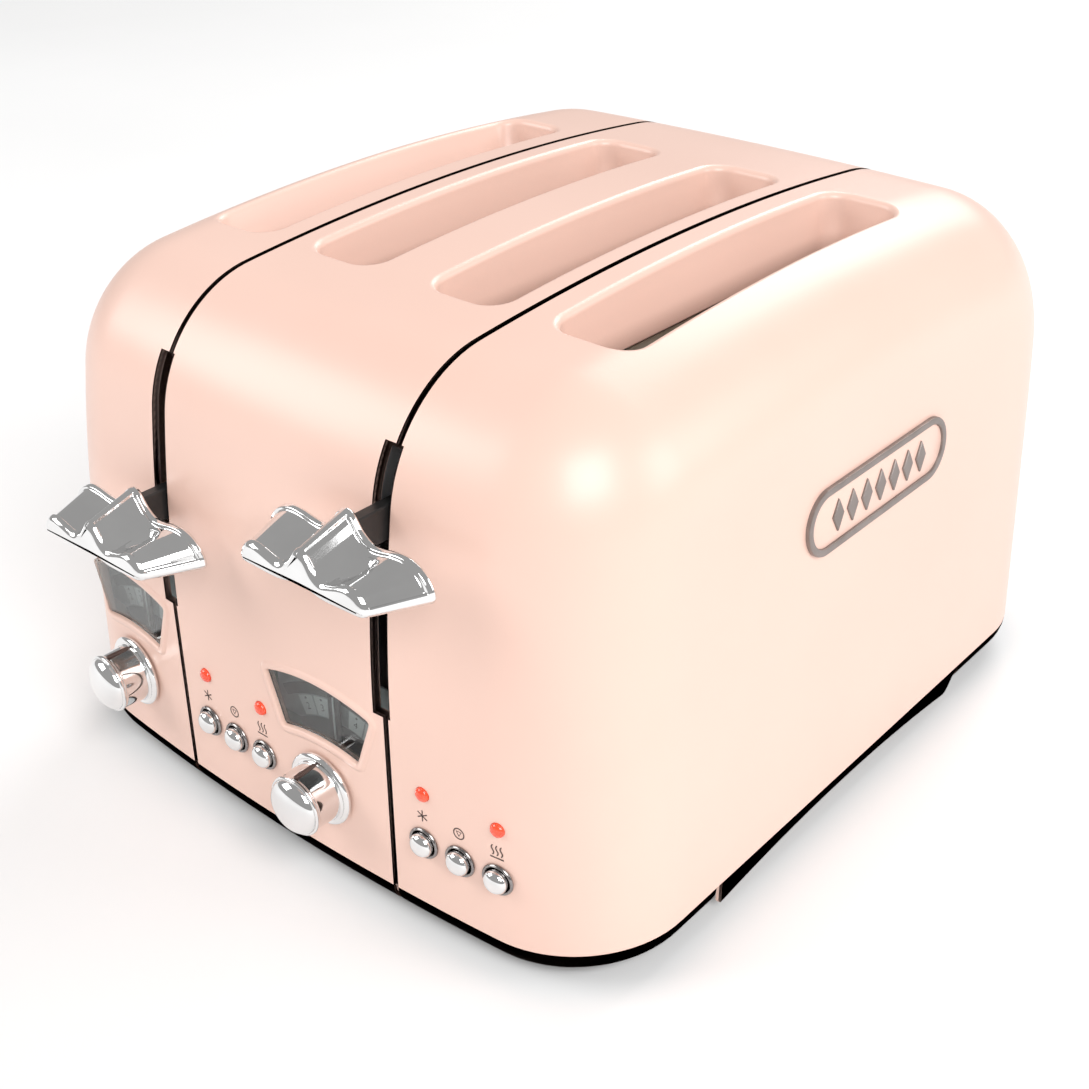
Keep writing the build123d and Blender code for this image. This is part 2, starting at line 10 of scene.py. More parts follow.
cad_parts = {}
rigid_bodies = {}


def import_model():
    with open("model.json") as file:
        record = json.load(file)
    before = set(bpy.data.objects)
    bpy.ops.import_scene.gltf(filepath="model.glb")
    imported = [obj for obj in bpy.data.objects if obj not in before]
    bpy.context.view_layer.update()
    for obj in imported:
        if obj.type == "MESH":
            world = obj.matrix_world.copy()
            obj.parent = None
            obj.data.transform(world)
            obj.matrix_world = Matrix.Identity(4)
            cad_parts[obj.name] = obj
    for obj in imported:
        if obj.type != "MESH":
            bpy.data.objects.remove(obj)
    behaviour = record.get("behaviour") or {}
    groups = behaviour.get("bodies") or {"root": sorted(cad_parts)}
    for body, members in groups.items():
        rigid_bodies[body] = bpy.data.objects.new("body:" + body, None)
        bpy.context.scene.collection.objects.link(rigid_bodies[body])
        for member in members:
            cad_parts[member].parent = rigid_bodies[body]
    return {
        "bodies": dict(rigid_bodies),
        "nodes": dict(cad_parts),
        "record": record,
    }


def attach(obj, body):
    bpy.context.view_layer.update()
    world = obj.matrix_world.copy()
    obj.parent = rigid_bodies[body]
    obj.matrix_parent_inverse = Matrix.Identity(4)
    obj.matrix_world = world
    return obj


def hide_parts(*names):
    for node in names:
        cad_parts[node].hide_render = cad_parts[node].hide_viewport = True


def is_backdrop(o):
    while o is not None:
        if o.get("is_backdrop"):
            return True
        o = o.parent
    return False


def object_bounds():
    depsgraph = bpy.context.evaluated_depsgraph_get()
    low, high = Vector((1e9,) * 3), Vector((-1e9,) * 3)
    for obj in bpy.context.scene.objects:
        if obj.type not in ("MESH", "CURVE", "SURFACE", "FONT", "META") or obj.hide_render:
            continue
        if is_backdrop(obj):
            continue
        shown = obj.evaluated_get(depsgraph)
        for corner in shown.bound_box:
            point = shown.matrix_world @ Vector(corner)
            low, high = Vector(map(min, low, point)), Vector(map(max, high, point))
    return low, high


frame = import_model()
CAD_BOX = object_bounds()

# Looks of a four slot pop up toaster. Shapes are worked out in millimetres from the middle of the body,
# as in the CAD model, and moved into the frame when each mesh is made.
MM = 0.001
MIDDLE_Y = 12.5             # the body's middle from the frame's origin, along Y

# ---- body ----
DEPTH, WIDTH, TOP = 167.4, 141.0, 209.9
# each end wall: upright to this height, then leaning in on this radius, up to a shoulder of this radius
FRONT_WALL, BACK_WALL = (84.0, 567.0, 48.8), (111.4, 527.0, 64.6)
CROWN_R, CROWN_FLAT, BOW_R, DRAFT, SIDE_R = 1100.0, 2.0, 1041.0, 0.059, 41.0
BOTTOM_R, BOTTOM = 11.7, 2.8
LOW = BOTTOM + BOTTOM_R     # the upright walls start here
WALL = 2.4                  # thickness of the shells
GRID = 4.0                  # spacing of the body's mesh

SEAM, SEAM_GAP, SEAM_ROUND = 54.0, 1.2, 0.55
LEVER_SLOT_X, LEVER_SLOT_Z = (-5.0, 1.5), (87.0, 181.0)
SLOT_X, SLOT_HALF, SLOT_Y, SLOT_CORNER = (-81.5, -28.5, 28.5, 81.5), 15.5, (-98.0, 70.0), 9.0
SKIRT_Y, SKIRT_Z = (-91.5, 72.0), (5.0, 10.0)
SKIRT_STEP = 11.0           # run of the curved step at the skirt's rear end

# ---- front controls, from each seam ----
KNOB_X, KNOB_Z = -32.3, 42.5
BUTTON_X, BUTTON_PITCH, BUTTON_Z, LAMP_Z, ICON_Z = 14.4, 15.4, 41.6, 62.0, 52.8
WINDOW_Z, WINDOW_HALF, WINDOW_SAG = (60.8, 81.6), (18.1, 25.1), (2.4, 4.3)
SEAMS = {"left": -SEAM, "right": SEAM}
BODIES = frame["bodies"]


# ---------------------------------------------------------------- body surface

def round_meet(a, b, r):
    """Distance-like value of two walls that meet with a round of radius r."""
    return np.minimum(-r, np.maximum(a, b)) + np.hypot(np.maximum(r + a, 0), np.maximum(r + b, 0))


def shoulder_centre(lean, lean_r, crown, r):
    """Centre of the round that runs inside both the lean's and the crown's arcs."""
    span = np.linalg.norm(lean - crown)
    a = ((CROWN_R - r) ** 2 - (lean_r - r) ** 2 + span ** 2) / (2 * span)
    h = math.sqrt((CROWN_R - r) ** 2 - a * a)
    along = (lean - crown) / span
    across = np.array((along[1], -along[0]))
    return max((crown + a * along + way * h * across for way in (1, -1)), key=lambda centre: centre[1])


def end_wall(depth, z, wall):
    """Signed distance to a half's side profile: wall, lean, shoulder and crown, each meeting the next."""
    upright, lean_r, r = wall
    lean, crown = np.array((DEPTH - lean_r, upright)), np.array((CROWN_FLAT, TOP - CROWN_R))
    centre = shoulder_centre(lean, lean_r, crown, r)
    turn = np.arctan2(z - centre[1], depth - centre[0])
    lean_turn, crown_turn = (np.arctan2(*(centre - end)[::-1]) for end in (lean, crown))
    low = np.where(z > upright, np.hypot(depth - lean[0], z - lean[1]) - lean_r, depth - DEPTH)
    high = np.where(depth > CROWN_FLAT, np.hypot(depth - crown[0], z - crown[1]) - CROWN_R, z - TOP)
    shoulder = np.hypot(depth - centre[0], z - centre[1]) - r
    return np.where(turn < lean_turn, low, np.where(turn > crown_turn, high, shoulder))


def body(p):
    """Negative inside the body's outer surface."""
    x, y, z = p[..., 0], p[..., 1], p[..., 2]
    axis = BOW_R - DEPTH
    depth = np.hypot(x, np.abs(y) + axis) - axis
    ends = np.where(y < 0, end_wall(depth, z, FRONT_WALL), end_wall(depth, z, BACK_WALL))
    return round_meet(ends, np.abs(x) - WIDTH + DRAFT * z, SIDE_R)


def unit(rows):
    return rows / np.linalg.norm(rows, axis=-1, keepdims=True)


def facing(p):
    """Unit outward direction of the body's surface."""
    return unit(np.stack([body(p + e) - body(p - e) for e in 0.05 * np.eye(3)], -1))


CORE, CORE_TOP = (99.8, 118.0), 160.0    # a block well inside, square to the slots and the controls
REACH, HALVINGS = 90.0, 34               # search for the surface, outwards from that block


def skin(face, uv):
    """Points of the body's surface for places on one side of the block around it."""
    u, v = np.asarray(uv, float).T
    cube = {"front": (u, np.full_like(u, -DEPTH), v), "back": (u, np.full_like(u, DEPTH), v),
            "lid": (u, v, np.full_like(u, TOP)), "right": (np.full_like(u, WIDTH), u, v),
            "left": (np.full_like(u, -WIDTH), u, v)}[face]
    cube = np.stack(cube, -1)
    core = np.stack([np.clip(cube[:, 0], -CORE[0], CORE[0]), np.clip(cube[:, 1], -CORE[1], CORE[1]),
                     np.minimum(cube[:, 2], CORE_TOP)], -1)
    way = unit(cube - core)
    near, far = np.zeros(len(u)), np.full(len(u), REACH)
    for _ in range(HALVINGS):
        mid = (near + far) / 2
        inside = body(core + way * mid[:, None]) < 0
        near, far = np.where(inside, mid, near), np.where(inside, far, mid)
    return core + way * ((near + far) / 2)[:, None]


def on_block(z):
    """Height on the block around the body of a height on its front wall."""
    heights = np.linspace(0, TOP, 500)
    return float(np.interp(z, skin("front", [(SEAM, h) for h in heights])[:, 2], heights))


def front_frame(x, z):
    """A matrix in millimetres on the front wall: local Z points out of it and local Y is up."""
    place = skin("front", [(x, z)])[0]
    out = Vector(facing(place[None])[0])
    out.z = 0
    out.normalize()
    up = Vector((0, 0, 1))
    m = Matrix((up.cross(out), up, out)).transposed().to_4x4()
    m.translation = Vector(place)
    return m


# ---------------------------------------------------------------- meshes

def to_frame(points):
    """Metres in the frame from millimetres about the body's middle."""
    return (np.asarray(points, float).reshape(-1, 3) + (0, MIDDLE_Y, 0)) * MM


def finish_mesh(name, points, faces, normals=None, material=None, body_name="housing", replaces=(), slot=None,
                weld=0.004, sharp=None, place=None):
    """Makes one object from points in body millimetres, or in those of a placing matrix, hangs it on its
    body and hides the CAD nodes it replaces."""
    if place is not None:
        points = [place @ Vector(p) for p in points]
    mesh = bpy.data.meshes.new(name)
    mesh.from_pydata(to_frame(points).tolist(), [], [list(f) for f in faces])
    if normals is not None:
        layer = mesh.attributes.new("out", "FLOAT_VECTOR", "POINT")
        layer.data.foreach_set("vector", np.asarray(normals, np.float32).ravel())
    bm = bmesh.new()
    bm.from_mesh(mesh)
    bmesh.ops.remove_doubles(bm, verts=bm.verts, dist=weld * MM)
    bmesh.ops.delete(bm, geom=[v for v in bm.verts if not v.link_faces], context="VERTS")
    if normals is None:
        bmesh.ops.recalc_face_normals(bm, faces=bm.faces)
    bm.to_mesh(mesh)
    bm.free()
    mesh.shade_smooth()
    if normals is not None:
        out = np.zeros(len(mesh.vertices) * 3, np.float32)
        mesh.attributes["out"].data.foreach_get("vector", out)
        mesh.normals_split_custom_set_from_vertices(out.reshape(-1, 3).tolist())
        mesh.attributes.remove(mesh.attributes["out"])
    elif sharp:
        mesh.set_sharp_from_angle(angle=math.radians(sharp))
    piece = bpy.data.objects.new(name, mesh)
    bpy.context.scene.collection.objects.link(piece)
    mesh.materials.append(material)
    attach(piece, body_name)
    if replaces:
        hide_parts(*replaces)
    return piece


def ring_faces(rows, count):
    """Quads between closed rows of points that follow each other, each row with the same count."""
    faces = []
    for start in range(0, (rows - 1) * count, count):
        for k in range(count):
            a, b = start + k, start + (k + 1) % count
            faces.append((a, b, b + count, a + count))
    return faces


def arc(cx, cy, r, a0, a1, n):
    """Points of an arc between two angles in degrees, cut in n parts."""
    return [(cx + r * math.cos(math.radians(a0 + (a1 - a0) * k / n)),
             cy + r * math.sin(math.radians(a0 + (a1 - a0) * k / n))) for k in range(n + 1)]


def spun(profile, count):
    """A turned surface from (radius, height) points, about the Z axis."""
    angles = [2 * math.pi * k / count for k in range(count)]
    points = [Vector((r * math.cos(t), r * math.sin(t), z)) for r, z in profile for t in angles]
    return points, ring_faces(len(profile), count)


def prism(outlines):
    """Closed solid through rows of 2D outlines at heights: [(outline, height), ...]."""
    count = len(outlines[0][0])
    points = [Vector((x, y, h)) for outline, h in outlines for x, y in outline]
    faces = ring_faces(len(outlines), count)
    return points, faces + [tuple(range(count))[::-1], tuple(range(len(points) - count, len(points)))]


def joined(parts):
    """Several (points, faces) solids as one."""
    points, faces = [], []
    for p, f in parts:
        faces += [tuple(i + len(points) for i in face) for face in f]
        points += list(p)
    return points, faces


def block(x0, x1, y0, y1, z0, z1, r=0.6):
    """A box with rounded edges all round its outline and a small chamfer at both ends along Z."""
    outline = lambda d: stadium_box((x0 + x1) / 2, (y0 + y1) / 2, (x1 - x0) / 2, (y1 - y0) / 2, r, d, 4)
    c = min(r, (z1 - z0) / 4) * 0.5
    return prism([(outline(-c), z0), (outline(0), z0 + c), (outline(0), z1 - c), (outline(-c), z1)])


def stadium_box(cx, cy, hx, hy, r, grow=0.0, n=8):
    """Outline of a box with round corners, counter-clockwise, grown by a margin."""
    hx, hy, r = hx + grow, hy + grow, max(r + grow, 0.05)
    r = min(r, hx, hy)
    points = []
    for sx, sy, a in ((1, 1, 0), (-1, 1, 90), (-1, -1, 180), (1, -1, 270)):
        points += arc(cx + sx * (hx - r), cy + sy * (hy - r), r, a, a + 90, n)
    return points


def along_sides(points, step):
    """Adds points to a closed outline's long straight runs."""
    out = []
    for a, b in zip(points, points[1:] + points[:1]):
        n = max(1, math.ceil(math.dist(a, b) / step))
        out += [(a[0] + (b[0] - a[0]) * k / n, a[1] + (b[1] - a[1]) * k / n) for k in range(n)]
    return out


def grown(points, d):
    """A closed counter-clockwise outline moved outwards along its own normals."""
    p = np.asarray(points, float)
    before, after = np.roll(p, 1, 0) - p, np.roll(p, -1, 0) - p
    t = unit(unit(after) - unit(before))
    return p + d * np.stack([t[:, 1], -t[:, 0]], 1)


# ---------------------------------------------------------------- shells

UP = np.array((0.0, 0.0, 1.0))
LID_AT_SLOTS = 208.0        # the lid's height near the slots


class Shell:
    """One enamelled shell: outer skin, rounded rims and inner skin, gathered before the mesh is made."""

    def __init__(self):
        self.points, self.normals, self.faces = [], [], []

    def add(self, points, normals):
        start = len(self.points)
        self.points += list(points)
        self.normals += list(normals)
        return start

    def sheet(self, face, outline, holes, turn):
        """Outer and inner skin of one side, cut to its outline and holes."""
        uv, edges = fill_points(outline, holes)
        found, _, tris, _, _, _ = delaunay_2d_cdt([Vector(p) for p in uv], edges, [], 0, 1e-5)
        found = np.array([(v.x, v.y) for v in found])
        tris = np.array([t for t in tris if len(t) == 3])
        middle = found[tris].mean(1)
        keep = inside(middle, outline)
        for hole in holes:
            keep &= ~inside(middle, hole)
        a, b, c = (found[tris[:, k]] for k in range(3))
        area = (b[:, 0] - a[:, 0]) * (c[:, 1] - a[:, 1]) - (b[:, 1] - a[:, 1]) * (c[:, 0] - a[:, 0])
        tris = np.where((area > 0)[:, None], tris, tris[:, ::-1])[keep & (np.abs(area) > 1e-7)]
        if turn:
            tris = tris[:, ::-1]
        outer = skin(face, found)
        out = facing(outer)
        start = self.add(outer, out)
        self.faces += (tris + start).tolist()
        start = self.add(outer - WALL * out, -out)
        self.faces += (tris[:, ::-1] + start).tolist()

    def rim(self, face, outline_at, profile, closed=True, turn=False, straight=False):
        """Rolls the skin over an edge. Profile rows are (distance from the edge, height), and a third value
        fixes Z. Heights are along Z where straight is set, and else out of the surface."""
        rows, out_rows = [], []
        for off, height, *fixed in profile:
            base = skin(face, outline_at(off))
            out = facing(base)
            place = base + height * (UP if straight else out)
            if fixed:
                place[:, 2] = fixed[0]
            rows.append(place)
            out_rows.append(out)
        edge = profile[0][0]
        away = unit(skin(face, outline_at(edge + 1.0)) - skin(face, outline_at(edge)))
        flat = [(off, fixed[0] - LID_AT_SLOTS if fixed else h) for off, h, *fixed in profile]
        starts = []
        for k, (place, out) in enumerate(zip(rows, out_rows)):
            before, after = flat[max(k - 1, 0)], flat[min(k + 1, len(flat) - 1)]
            across, rise = profile_normal(before, flat[k], after) if k else (0.0, 1.0)
            starts.append(self.add(place, unit(across * away + rise * out)))
        count = len(rows[0])
        for a, b in zip(starts, starts[1:]):
            for k in range(count if closed else count - 1):
                n = (k + 1) % count
                quad = (a + k, a + n, b + n, b + k)
                self.faces.append(quad if turn else quad[::-1])


def profile_normal(before, here, after):
    """Direction out of a profile at one of its points, from the points beside it."""
    total = np.zeros(2)
    for (a0, a1), (b0, b1) in ((before, here), (here, after)):
        step = np.array([b1 - a1, a0 - b0])
        size = np.linalg.norm(step)
        if size > 1e-9:
            total += step / size
    size = np.linalg.norm(total)
    return tuple(total / size) if size > 1e-9 else (0.0, 1.0)


def inside(points, outline):
    """Even-odd test of many points against one closed outline."""
    o = np.asarray(outline, float)
    x, y = points[:, 0], points[:, 1]
    hit = np.zeros(len(points), bool)
    for (x0, y0), (x1, y1) in zip(o, np.roll(o, -1, 0)):
        if y0 == y1:
            continue
        hit ^= ((y0 > y) != (y1 > y)) & (x < (x1 - x0) * (y - y0) / (y1 - y0) + x0)
    return hit


def fill_points(outline, holes):
    """Outline and hole points with their edges, and a grid of points that keeps clear of them."""
    loops = [np.asarray(loop, float) for loop in (outline, *holes)]
    edges, start = [], 0
    for loop in loops:
        edges += [(start + k, start + (k + 1) % len(loop)) for k in range(len(loop))]
        start += len(loop)
    low, high = loops[0].min(0), loops[0].max(0)
    xs = steps(low[0], high[0], GRID)
    ys = steps(low[1], high[1], GRID)
    grid = np.stack(np.meshgrid(xs, ys, indexing="ij"), -1).reshape(-1, 2)
    keep = inside(grid, outline)
    for loop in loops[1:]:
        keep &= ~inside(grid, loop)
    grid = grid[keep]
    fixed = np.concatenate(loops)
    near = np.full(len(grid), 1e9)
    for part in np.array_split(fixed, max(1, len(fixed) // 200)):
        near = np.minimum(near, np.linalg.norm(grid[:, None] - part[None], axis=2).min(1))
    return np.concatenate([fixed, grid[near > 0.55 * GRID]]).tolist(), edges


def steps(a, b, size):
    """Evenly spaced places from a to b, no more than about a size apart."""
    return np.linspace(a, b, max(1, math.ceil(abs(b - a) / size - 1e-6)) + 1)


def quarter(r, n=5):
    """Rows of a rounded edge: from the outer skin down to a wall."""
    turns = [math.radians(90 * k / n) for k in range(n + 1)]
    return [(r * (1 - math.sin(t)), -r * (1 - math.cos(t))) for t in turns]


def window_outline(seam):
    """The dial window: bowed upper and lower edges, slanted ends and small round corners."""
    cx = seam + KNOB_X
    (low, high), (near, far), (sag_low, sag_high) = WINDOW_Z, WINDOW_HALF, WINDOW_SAG
    upper = [(cx + far * t, high + sag_high * (1 - t * t)) for t in np.linspace(1, -1, 25)]
    lower = [(cx + near * t, low + sag_low * (1 - t * t)) for t in np.linspace(-1, 1, 19)]
    return round_corners(upper + lower, (0, len(upper) - 1, len(upper), len(upper) + len(lower) - 1), 1.6)


def round_corners(points, corners, r):
    """Rounds the named corners of a closed outline."""
    out = []
    count = len(points)
    for k, p in enumerate(points):
        if k not in corners:
            out.append(p)
            continue
        p, a, b = (Vector(points[i % count]) for i in (k, k - 1, k + 1))
        u, v = (a - p).normalized(), (b - p).normalized()
        cut = r / math.tan(u.angle(v) / 2)
        s, e = p + u * cut, p + v * cut
        for t in np.linspace(0, 1, 7):
            q = s * (1 - t) ** 2 + p * 2 * t * (1 - t) + e * t * t
            out.append((q.x, q.y))
    return along_sides(out, 2.0)


def seam_edge(seam, side):
    """Function of the inset: the front edge of a shell along a seam, stepping round the lever's slot."""
    edge = seam + side * SEAM_GAP / 2
    notch = seam + (LEVER_SLOT_X[1] if side > 0 else LEVER_SLOT_X[0])
    low, high = LEVER_SLOT_Z[0], on_block(LEVER_SLOT_Z[1])

    across = max(1, math.ceil(abs(edge - notch) / 3.0))

    def at(inset):
        x, n = edge + side * inset, notch + side * inset
        below, above = low - inset, high + inset
        corners = [(x, LOW), (x, below), (n, below), (n, above), (x, above), (x, TOP)]
        points = []
        for a, b, count in zip(corners, corners[1:], (24, across, 32, across, 10)):
            points += [(a[0] + (b[0] - a[0]) * k / count, a[1] + (b[1] - a[1]) * k / count)
                       for k in range(count)]
        return points + [corners[-1]]
    return at


SEAM_ROLL = quarter(SEAM_ROUND, 4) + [(0.0, -WALL), (SEAM_ROUND, -WALL)]
# the middle shell's edge runs on as a ledge across the gap
LEDGE, LEDGE_TOP, LEDGE_UNDER = 0.1 - SEAM_GAP, -0.95, -2.3
SEAM_LEDGE = quarter(SEAM_ROUND, 4)
SEAM_LEDGE += [(0.0, LEDGE_TOP), (LEDGE, LEDGE_TOP), (LEDGE, LEDGE_UNDER), (SEAM_ROUND, -WALL)]
SLOT_LIP = 2.6
SLOT_WALL = [(0.0, -9.0), (-1.2, 0.0, 193.5), (-2.4, 0.0, 186.2), (-2.1, 0.0, 185.6), (-1.2, 0.0, 185.8),
             (-0.8, 0.0, 186.6), (0.6, 0.0, 200.0)]
WINDOW_ROLL = [(3.6, 0.0), (3.2, 0.05), (2.8, 0.32), (2.45, 0.62), (2.0, 0.8), (1.2, 0.85), (0.6, 0.8),
               (0.2, 0.62), (0.0, 0.3), (0.0, -3.4), (1.0, -3.4), (3.6, -WALL)]
KNOB_HOLE, BUTTON_HOLE, LAMP_HOLE = 3.6, 5.3, 2.75


def bread_outline(x):
    """Function of the growth: a bread slot's outline on the lid."""
    middle, half = sum(SLOT_Y) / 2, (SLOT_Y[1] - SLOT_Y[0]) / 2
    base = along_sides(stadium_box(x, middle, SLOT_HALF, half, SLOT_CORNER, 0, 9), 4.0)
    return lambda d: grown(base, d)


def circle_outline(x, z, r, count=40):
    """Function of the growth: a round hole's outline."""
    return lambda d: [(x + (r + d) * math.cos(2 * math.pi * k / count),
                       z + (r + d) * math.sin(2 * math.pi * k / count)) for k in range(count)]


def skirt_edge(y):
    """Height of a side wall's lower edge along its straight stretch."""
    middle, half = sum(SKIRT_Y) / 2, (SKIRT_Y[1] - SKIRT_Y[0]) / 2
    arch = SKIRT_Z[0] + (SKIRT_Z[1] - SKIRT_Z[0]) * (1 - min(1.0, ((y - middle) / half) ** 2))
    t = min(max((y - SKIRT_Y[1]) / SKIRT_STEP, 0.0), 1.0)
    return arch + (LOW - 1.0 - arch) * t * t * (3 - 2 * t)


def turned_in_edge(shell, runs):
    """Lower edge of a shell: runs are lists of (point on the wall at LOW, kind)."""
    for points, kind, flip in runs:
        out = facing(points)
        out[:, 2] = 0
        out = unit(out)
        rows, normals = [points], [out]
        if kind == "round":
            for a in range(10, 91, 10):
                c, s = math.cos(math.radians(a)), math.sin(math.radians(a))
                rows.append(points - out * BOTTOM_R * (1 - c) + (0, 0, -BOTTOM_R * s))
                normals.append(out * c + np.array((0, 0, -s)))
            rows.append(points - out * (BOTTOM_R + 2.5) + (0, 0, -BOTTOM_R))
            normals.append(np.tile((0, 0, -1.0), (len(points), 1)))
            rows.append(points - out * (BOTTOM_R + 2.5) + (0, 0, WALL - BOTTOM_R))
            normals.append(np.tile((0, 0, 1.0), (len(points), 1)))
            inner = BOTTOM_R - WALL
            for a in range(80, 9, -10):
                c, s = math.cos(math.radians(a)), math.sin(math.radians(a))
                rows.append(points - out * (WALL + inner * (1 - c)) + (0, 0, -inner * s))
                normals.append(-out * c + np.array((0, 0, s)))
        else:
            bottom = points.copy()
            bottom[:, 2] = [skirt_edge(y) for y in points[:, 1]]
            for up, inwards, c, s in ((0.7, 0.0, 1, 0), (0.2, 0.2, 0.7, 0.7), (0.0, 0.7, 0, 1),
                                      (0.0, WALL - 0.5, 0, 1), (0.3, WALL, -1, 0)):
                rows.append(bottom - out * inwards + (0, 0, up))
                normals.append(out * c + np.array((0, 0, -float(s))))
        rows.append(points - WALL * facing(points))
        normals.append(-out)
        starts = [shell.add(r, n) for r, n in zip(rows, normals)]
        for a, b in zip(starts, starts[1:]):
            for k in range(len(points) - 1):
                quad = (a + k, a + k + 1, b + k + 1, b + k)
                shell.faces.append(quad[::-1] if flip else quad)
        for k in (0, len(points) - 1):
            loop = [s + k for s in starts]
            shell.faces.append(loop if (k == 0) != flip else loop[::-1])


def front_openings(mine):
    """The holes of a shell's front and the rim of each: windows, knob shafts, buttons and lamps."""
    found = []
    for seam in SEAMS.values():
        if mine(seam + KNOB_X):
            outline = window_outline(seam)
            found.append((lambda d, o=outline: grown(o, d), WINDOW_ROLL))
            found.append((circle_outline(seam + KNOB_X, KNOB_Z, KNOB_HOLE), hole_roll(0.3, 2)))
        for k in range(3):
            x = seam + BUTTON_X + k * BUTTON_PITCH
            if mine(x):
                found.append((circle_outline(x, BUTTON_Z, BUTTON_HOLE), hole_roll(0.25, 3)))
            if mine(x) and k != 1:
                found.append((circle_outline(x, LAMP_Z, LAMP_HOLE), hole_roll(0.25, 3)))
    return found


def hole_roll(r, n):
    """Profile of a plain hole through a shell, with its edge rounded."""
    return quarter(r, n) + [(0.0, -WALL), (r, -WALL)]


def make_shell(name, left_seam, right_seam):
    """One shell between two seams, or out to the side of the body where there is none."""
    shell = Shell()
    x0 = -WIDTH if left_seam is None else left_seam + SEAM_GAP / 2
    x1 = WIDTH if right_seam is None else right_seam - SEAM_GAP / 2
    side_wall = "left" if left_seam is None else "right" if right_seam is None else None
    edges = [(seam, side) for seam, side in ((left_seam, 1), (right_seam, -1)) if seam is not None]
    chains = {side: seam_edge(seam, side) for seam, side in edges}
    sheet = (x0 + SEAM_ROUND * (1 in chains), x1 - SEAM_ROUND * (-1 in chains))
    mine = lambda x: x0 <= x <= x1

    def bounded(u_low, u_high, v0, v1, left=None, right=None):
        """Outline of a side's mesh, counter-clockwise."""
        bottom = [(u, v0) for u in steps(u_low, u_high, GRID)]
        lid = [(u, v1) for u in steps(u_low, u_high, GRID)[::-1]]
        right = right or [(u_high, v) for v in steps(v0, v1, GRID)]
        left = left or [(u_low, v) for v in steps(v0, v1, GRID)]
        return bottom + right[1:-1] + lid + left[-2:0:-1]

    openings = front_openings(mine)
    stepped = [chains[side](SEAM_ROUND) if side in chains else None for side in (1, -1)]
    front = bounded(*sheet, LOW, TOP, *stepped)
    shell.sheet("front", front, [outline_at(profile[0][0]) for outline_at, profile in openings], turn=False)
    for outline_at, profile in openings:
        shell.rim("front", outline_at, profile, turn=True)
    shell.sheet("back", bounded(*sheet, LOW, TOP), [], turn=True)
    slots = [bread_outline(x) for x in SLOT_X if mine(x)]
    shell.sheet("lid", bounded(*sheet, -DEPTH, DEPTH), [slot(SLOT_LIP) for slot in slots], turn=False)
    for slot in slots:
        shell.rim("lid", slot, quarter(SLOT_LIP, 6) + SLOT_WALL, turn=True, straight=True)
        join_inner(shell, slot)
    if side_wall:
        shell.sheet(side_wall, bounded(-DEPTH, DEPTH, LOW, TOP), [], turn=side_wall == "left")
    for seam, side in edges:
        flip = side < 0
        roll = SEAM_ROLL if side_wall else SEAM_LEDGE
        shell.rim("front", chains[side], roll, closed=False, turn=flip)
        edge = seam + side * SEAM_GAP / 2
        line = lambda v0, v1: (lambda d: [(edge + side * d, v) for v in steps(v0, v1, GRID)])
        shell.rim("lid", line(-DEPTH, DEPTH), roll, closed=False, turn=flip)
        shell.rim("back", line(LOW, TOP), roll, closed=False, turn=not flip)
    lower_runs(shell, steps(*sheet, GRID), side_wall)
    finish_mesh(name, shell.points, shell.faces, shell.normals, PINK, replaces=(name,), slot="pink_enamel",
                weld=0.01)


def join_inner(shell, outline_at):
    """Closes a slot's outer throat wall against the inner skin of the lid."""
    off, _, z = SLOT_WALL[-1]
    low = skin("lid", outline_at(off))
    low[:, 2] = z
    base = skin("lid", outline_at(SLOT_LIP))
    high = base - WALL * facing(base)
    side = low - skin("lid", outline_at(off - 1))
    side[:, 2] = 0
    side = unit(side)
    a, b = shell.add(low, side), shell.add(high, side)
    count = len(low)
    for k in range(count):
        n = (k + 1) % count
        shell.faces.append((b + k, b + n, a + n, a + k))


def lower_runs(shell, across, side_wall):
    """The lower edge all round one shell, run by run."""
    level = lambda face, us: skin(face, [(u, LOW) for u in us])
    runs = [(level("front", across), "round", True), (level("back", across), "round", False)]
    if side_wall:
        ys = steps(-DEPTH, DEPTH, GRID)
        start, step_end = SKIRT_Y[0] - 3.5, SKIRT_Y[1] + SKIRT_STEP
        flip = side_wall == "left"
        runs.append((level(side_wall, [y for y in ys if y < start] + [start]), "round", not flip))
        skirt = np.concatenate([steps(SKIRT_Y[0], SKIRT_Y[1], GRID), steps(SKIRT_Y[1], step_end, 1.0)[1:]])
        runs.append((level(side_wall, skirt), "skirt", not flip))
        runs.append((level(side_wall, [step_end] + [y for y in ys if y > step_end]), "round", not flip))
    turned_in_edge(shell, [(p, kind, not flip) for p, kind, flip in runs])


# ---------------------------------------------------------------- materials

def nodes_of(name):
    """A new material with its nodes and its shader."""
    material = bpy.data.materials.new(name)
    material.use_nodes = True
    tree = material.node_tree
    return material, tree, tree.nodes["Principled BSDF"]


def set_inputs(shader, **values):
    for key, value in values.items():
        shader.inputs[key.replace("_", " ")].default_value = value


def noise(tree, scale, detail=3.0, rough=0.5, stretch=(1, 1, 1)):
    coord = tree.nodes.new("ShaderNodeTexCoord")
    mapping = tree.nodes.new("ShaderNodeMapping")
    mapping.inputs["Scale"].default_value = stretch
    tex = tree.nodes.new("ShaderNodeTexNoise")
    tex.inputs["Scale"].default_value = scale
    tex.inputs["Detail"].default_value = detail
    tex.inputs["Roughness"].default_value = rough
    tree.links.new(coord.outputs["Object"], mapping.inputs["Vector"])
    tree.links.new(mapping.outputs["Vector"], tex.inputs["Vector"])
    return tex


def ramp(tree, source, stops):
    node = tree.nodes.new("ShaderNodeValToRGB")
    elements = node.color_ramp.elements
    for k, (place, colour) in enumerate(stops):
        element = elements[k] if k < len(elements) else elements.new(place)
        element.position = place
        element.color = (*colour, 1) if len(colour) == 3 else colour
    tree.links.new(source, node.inputs["Fac"])
    return node


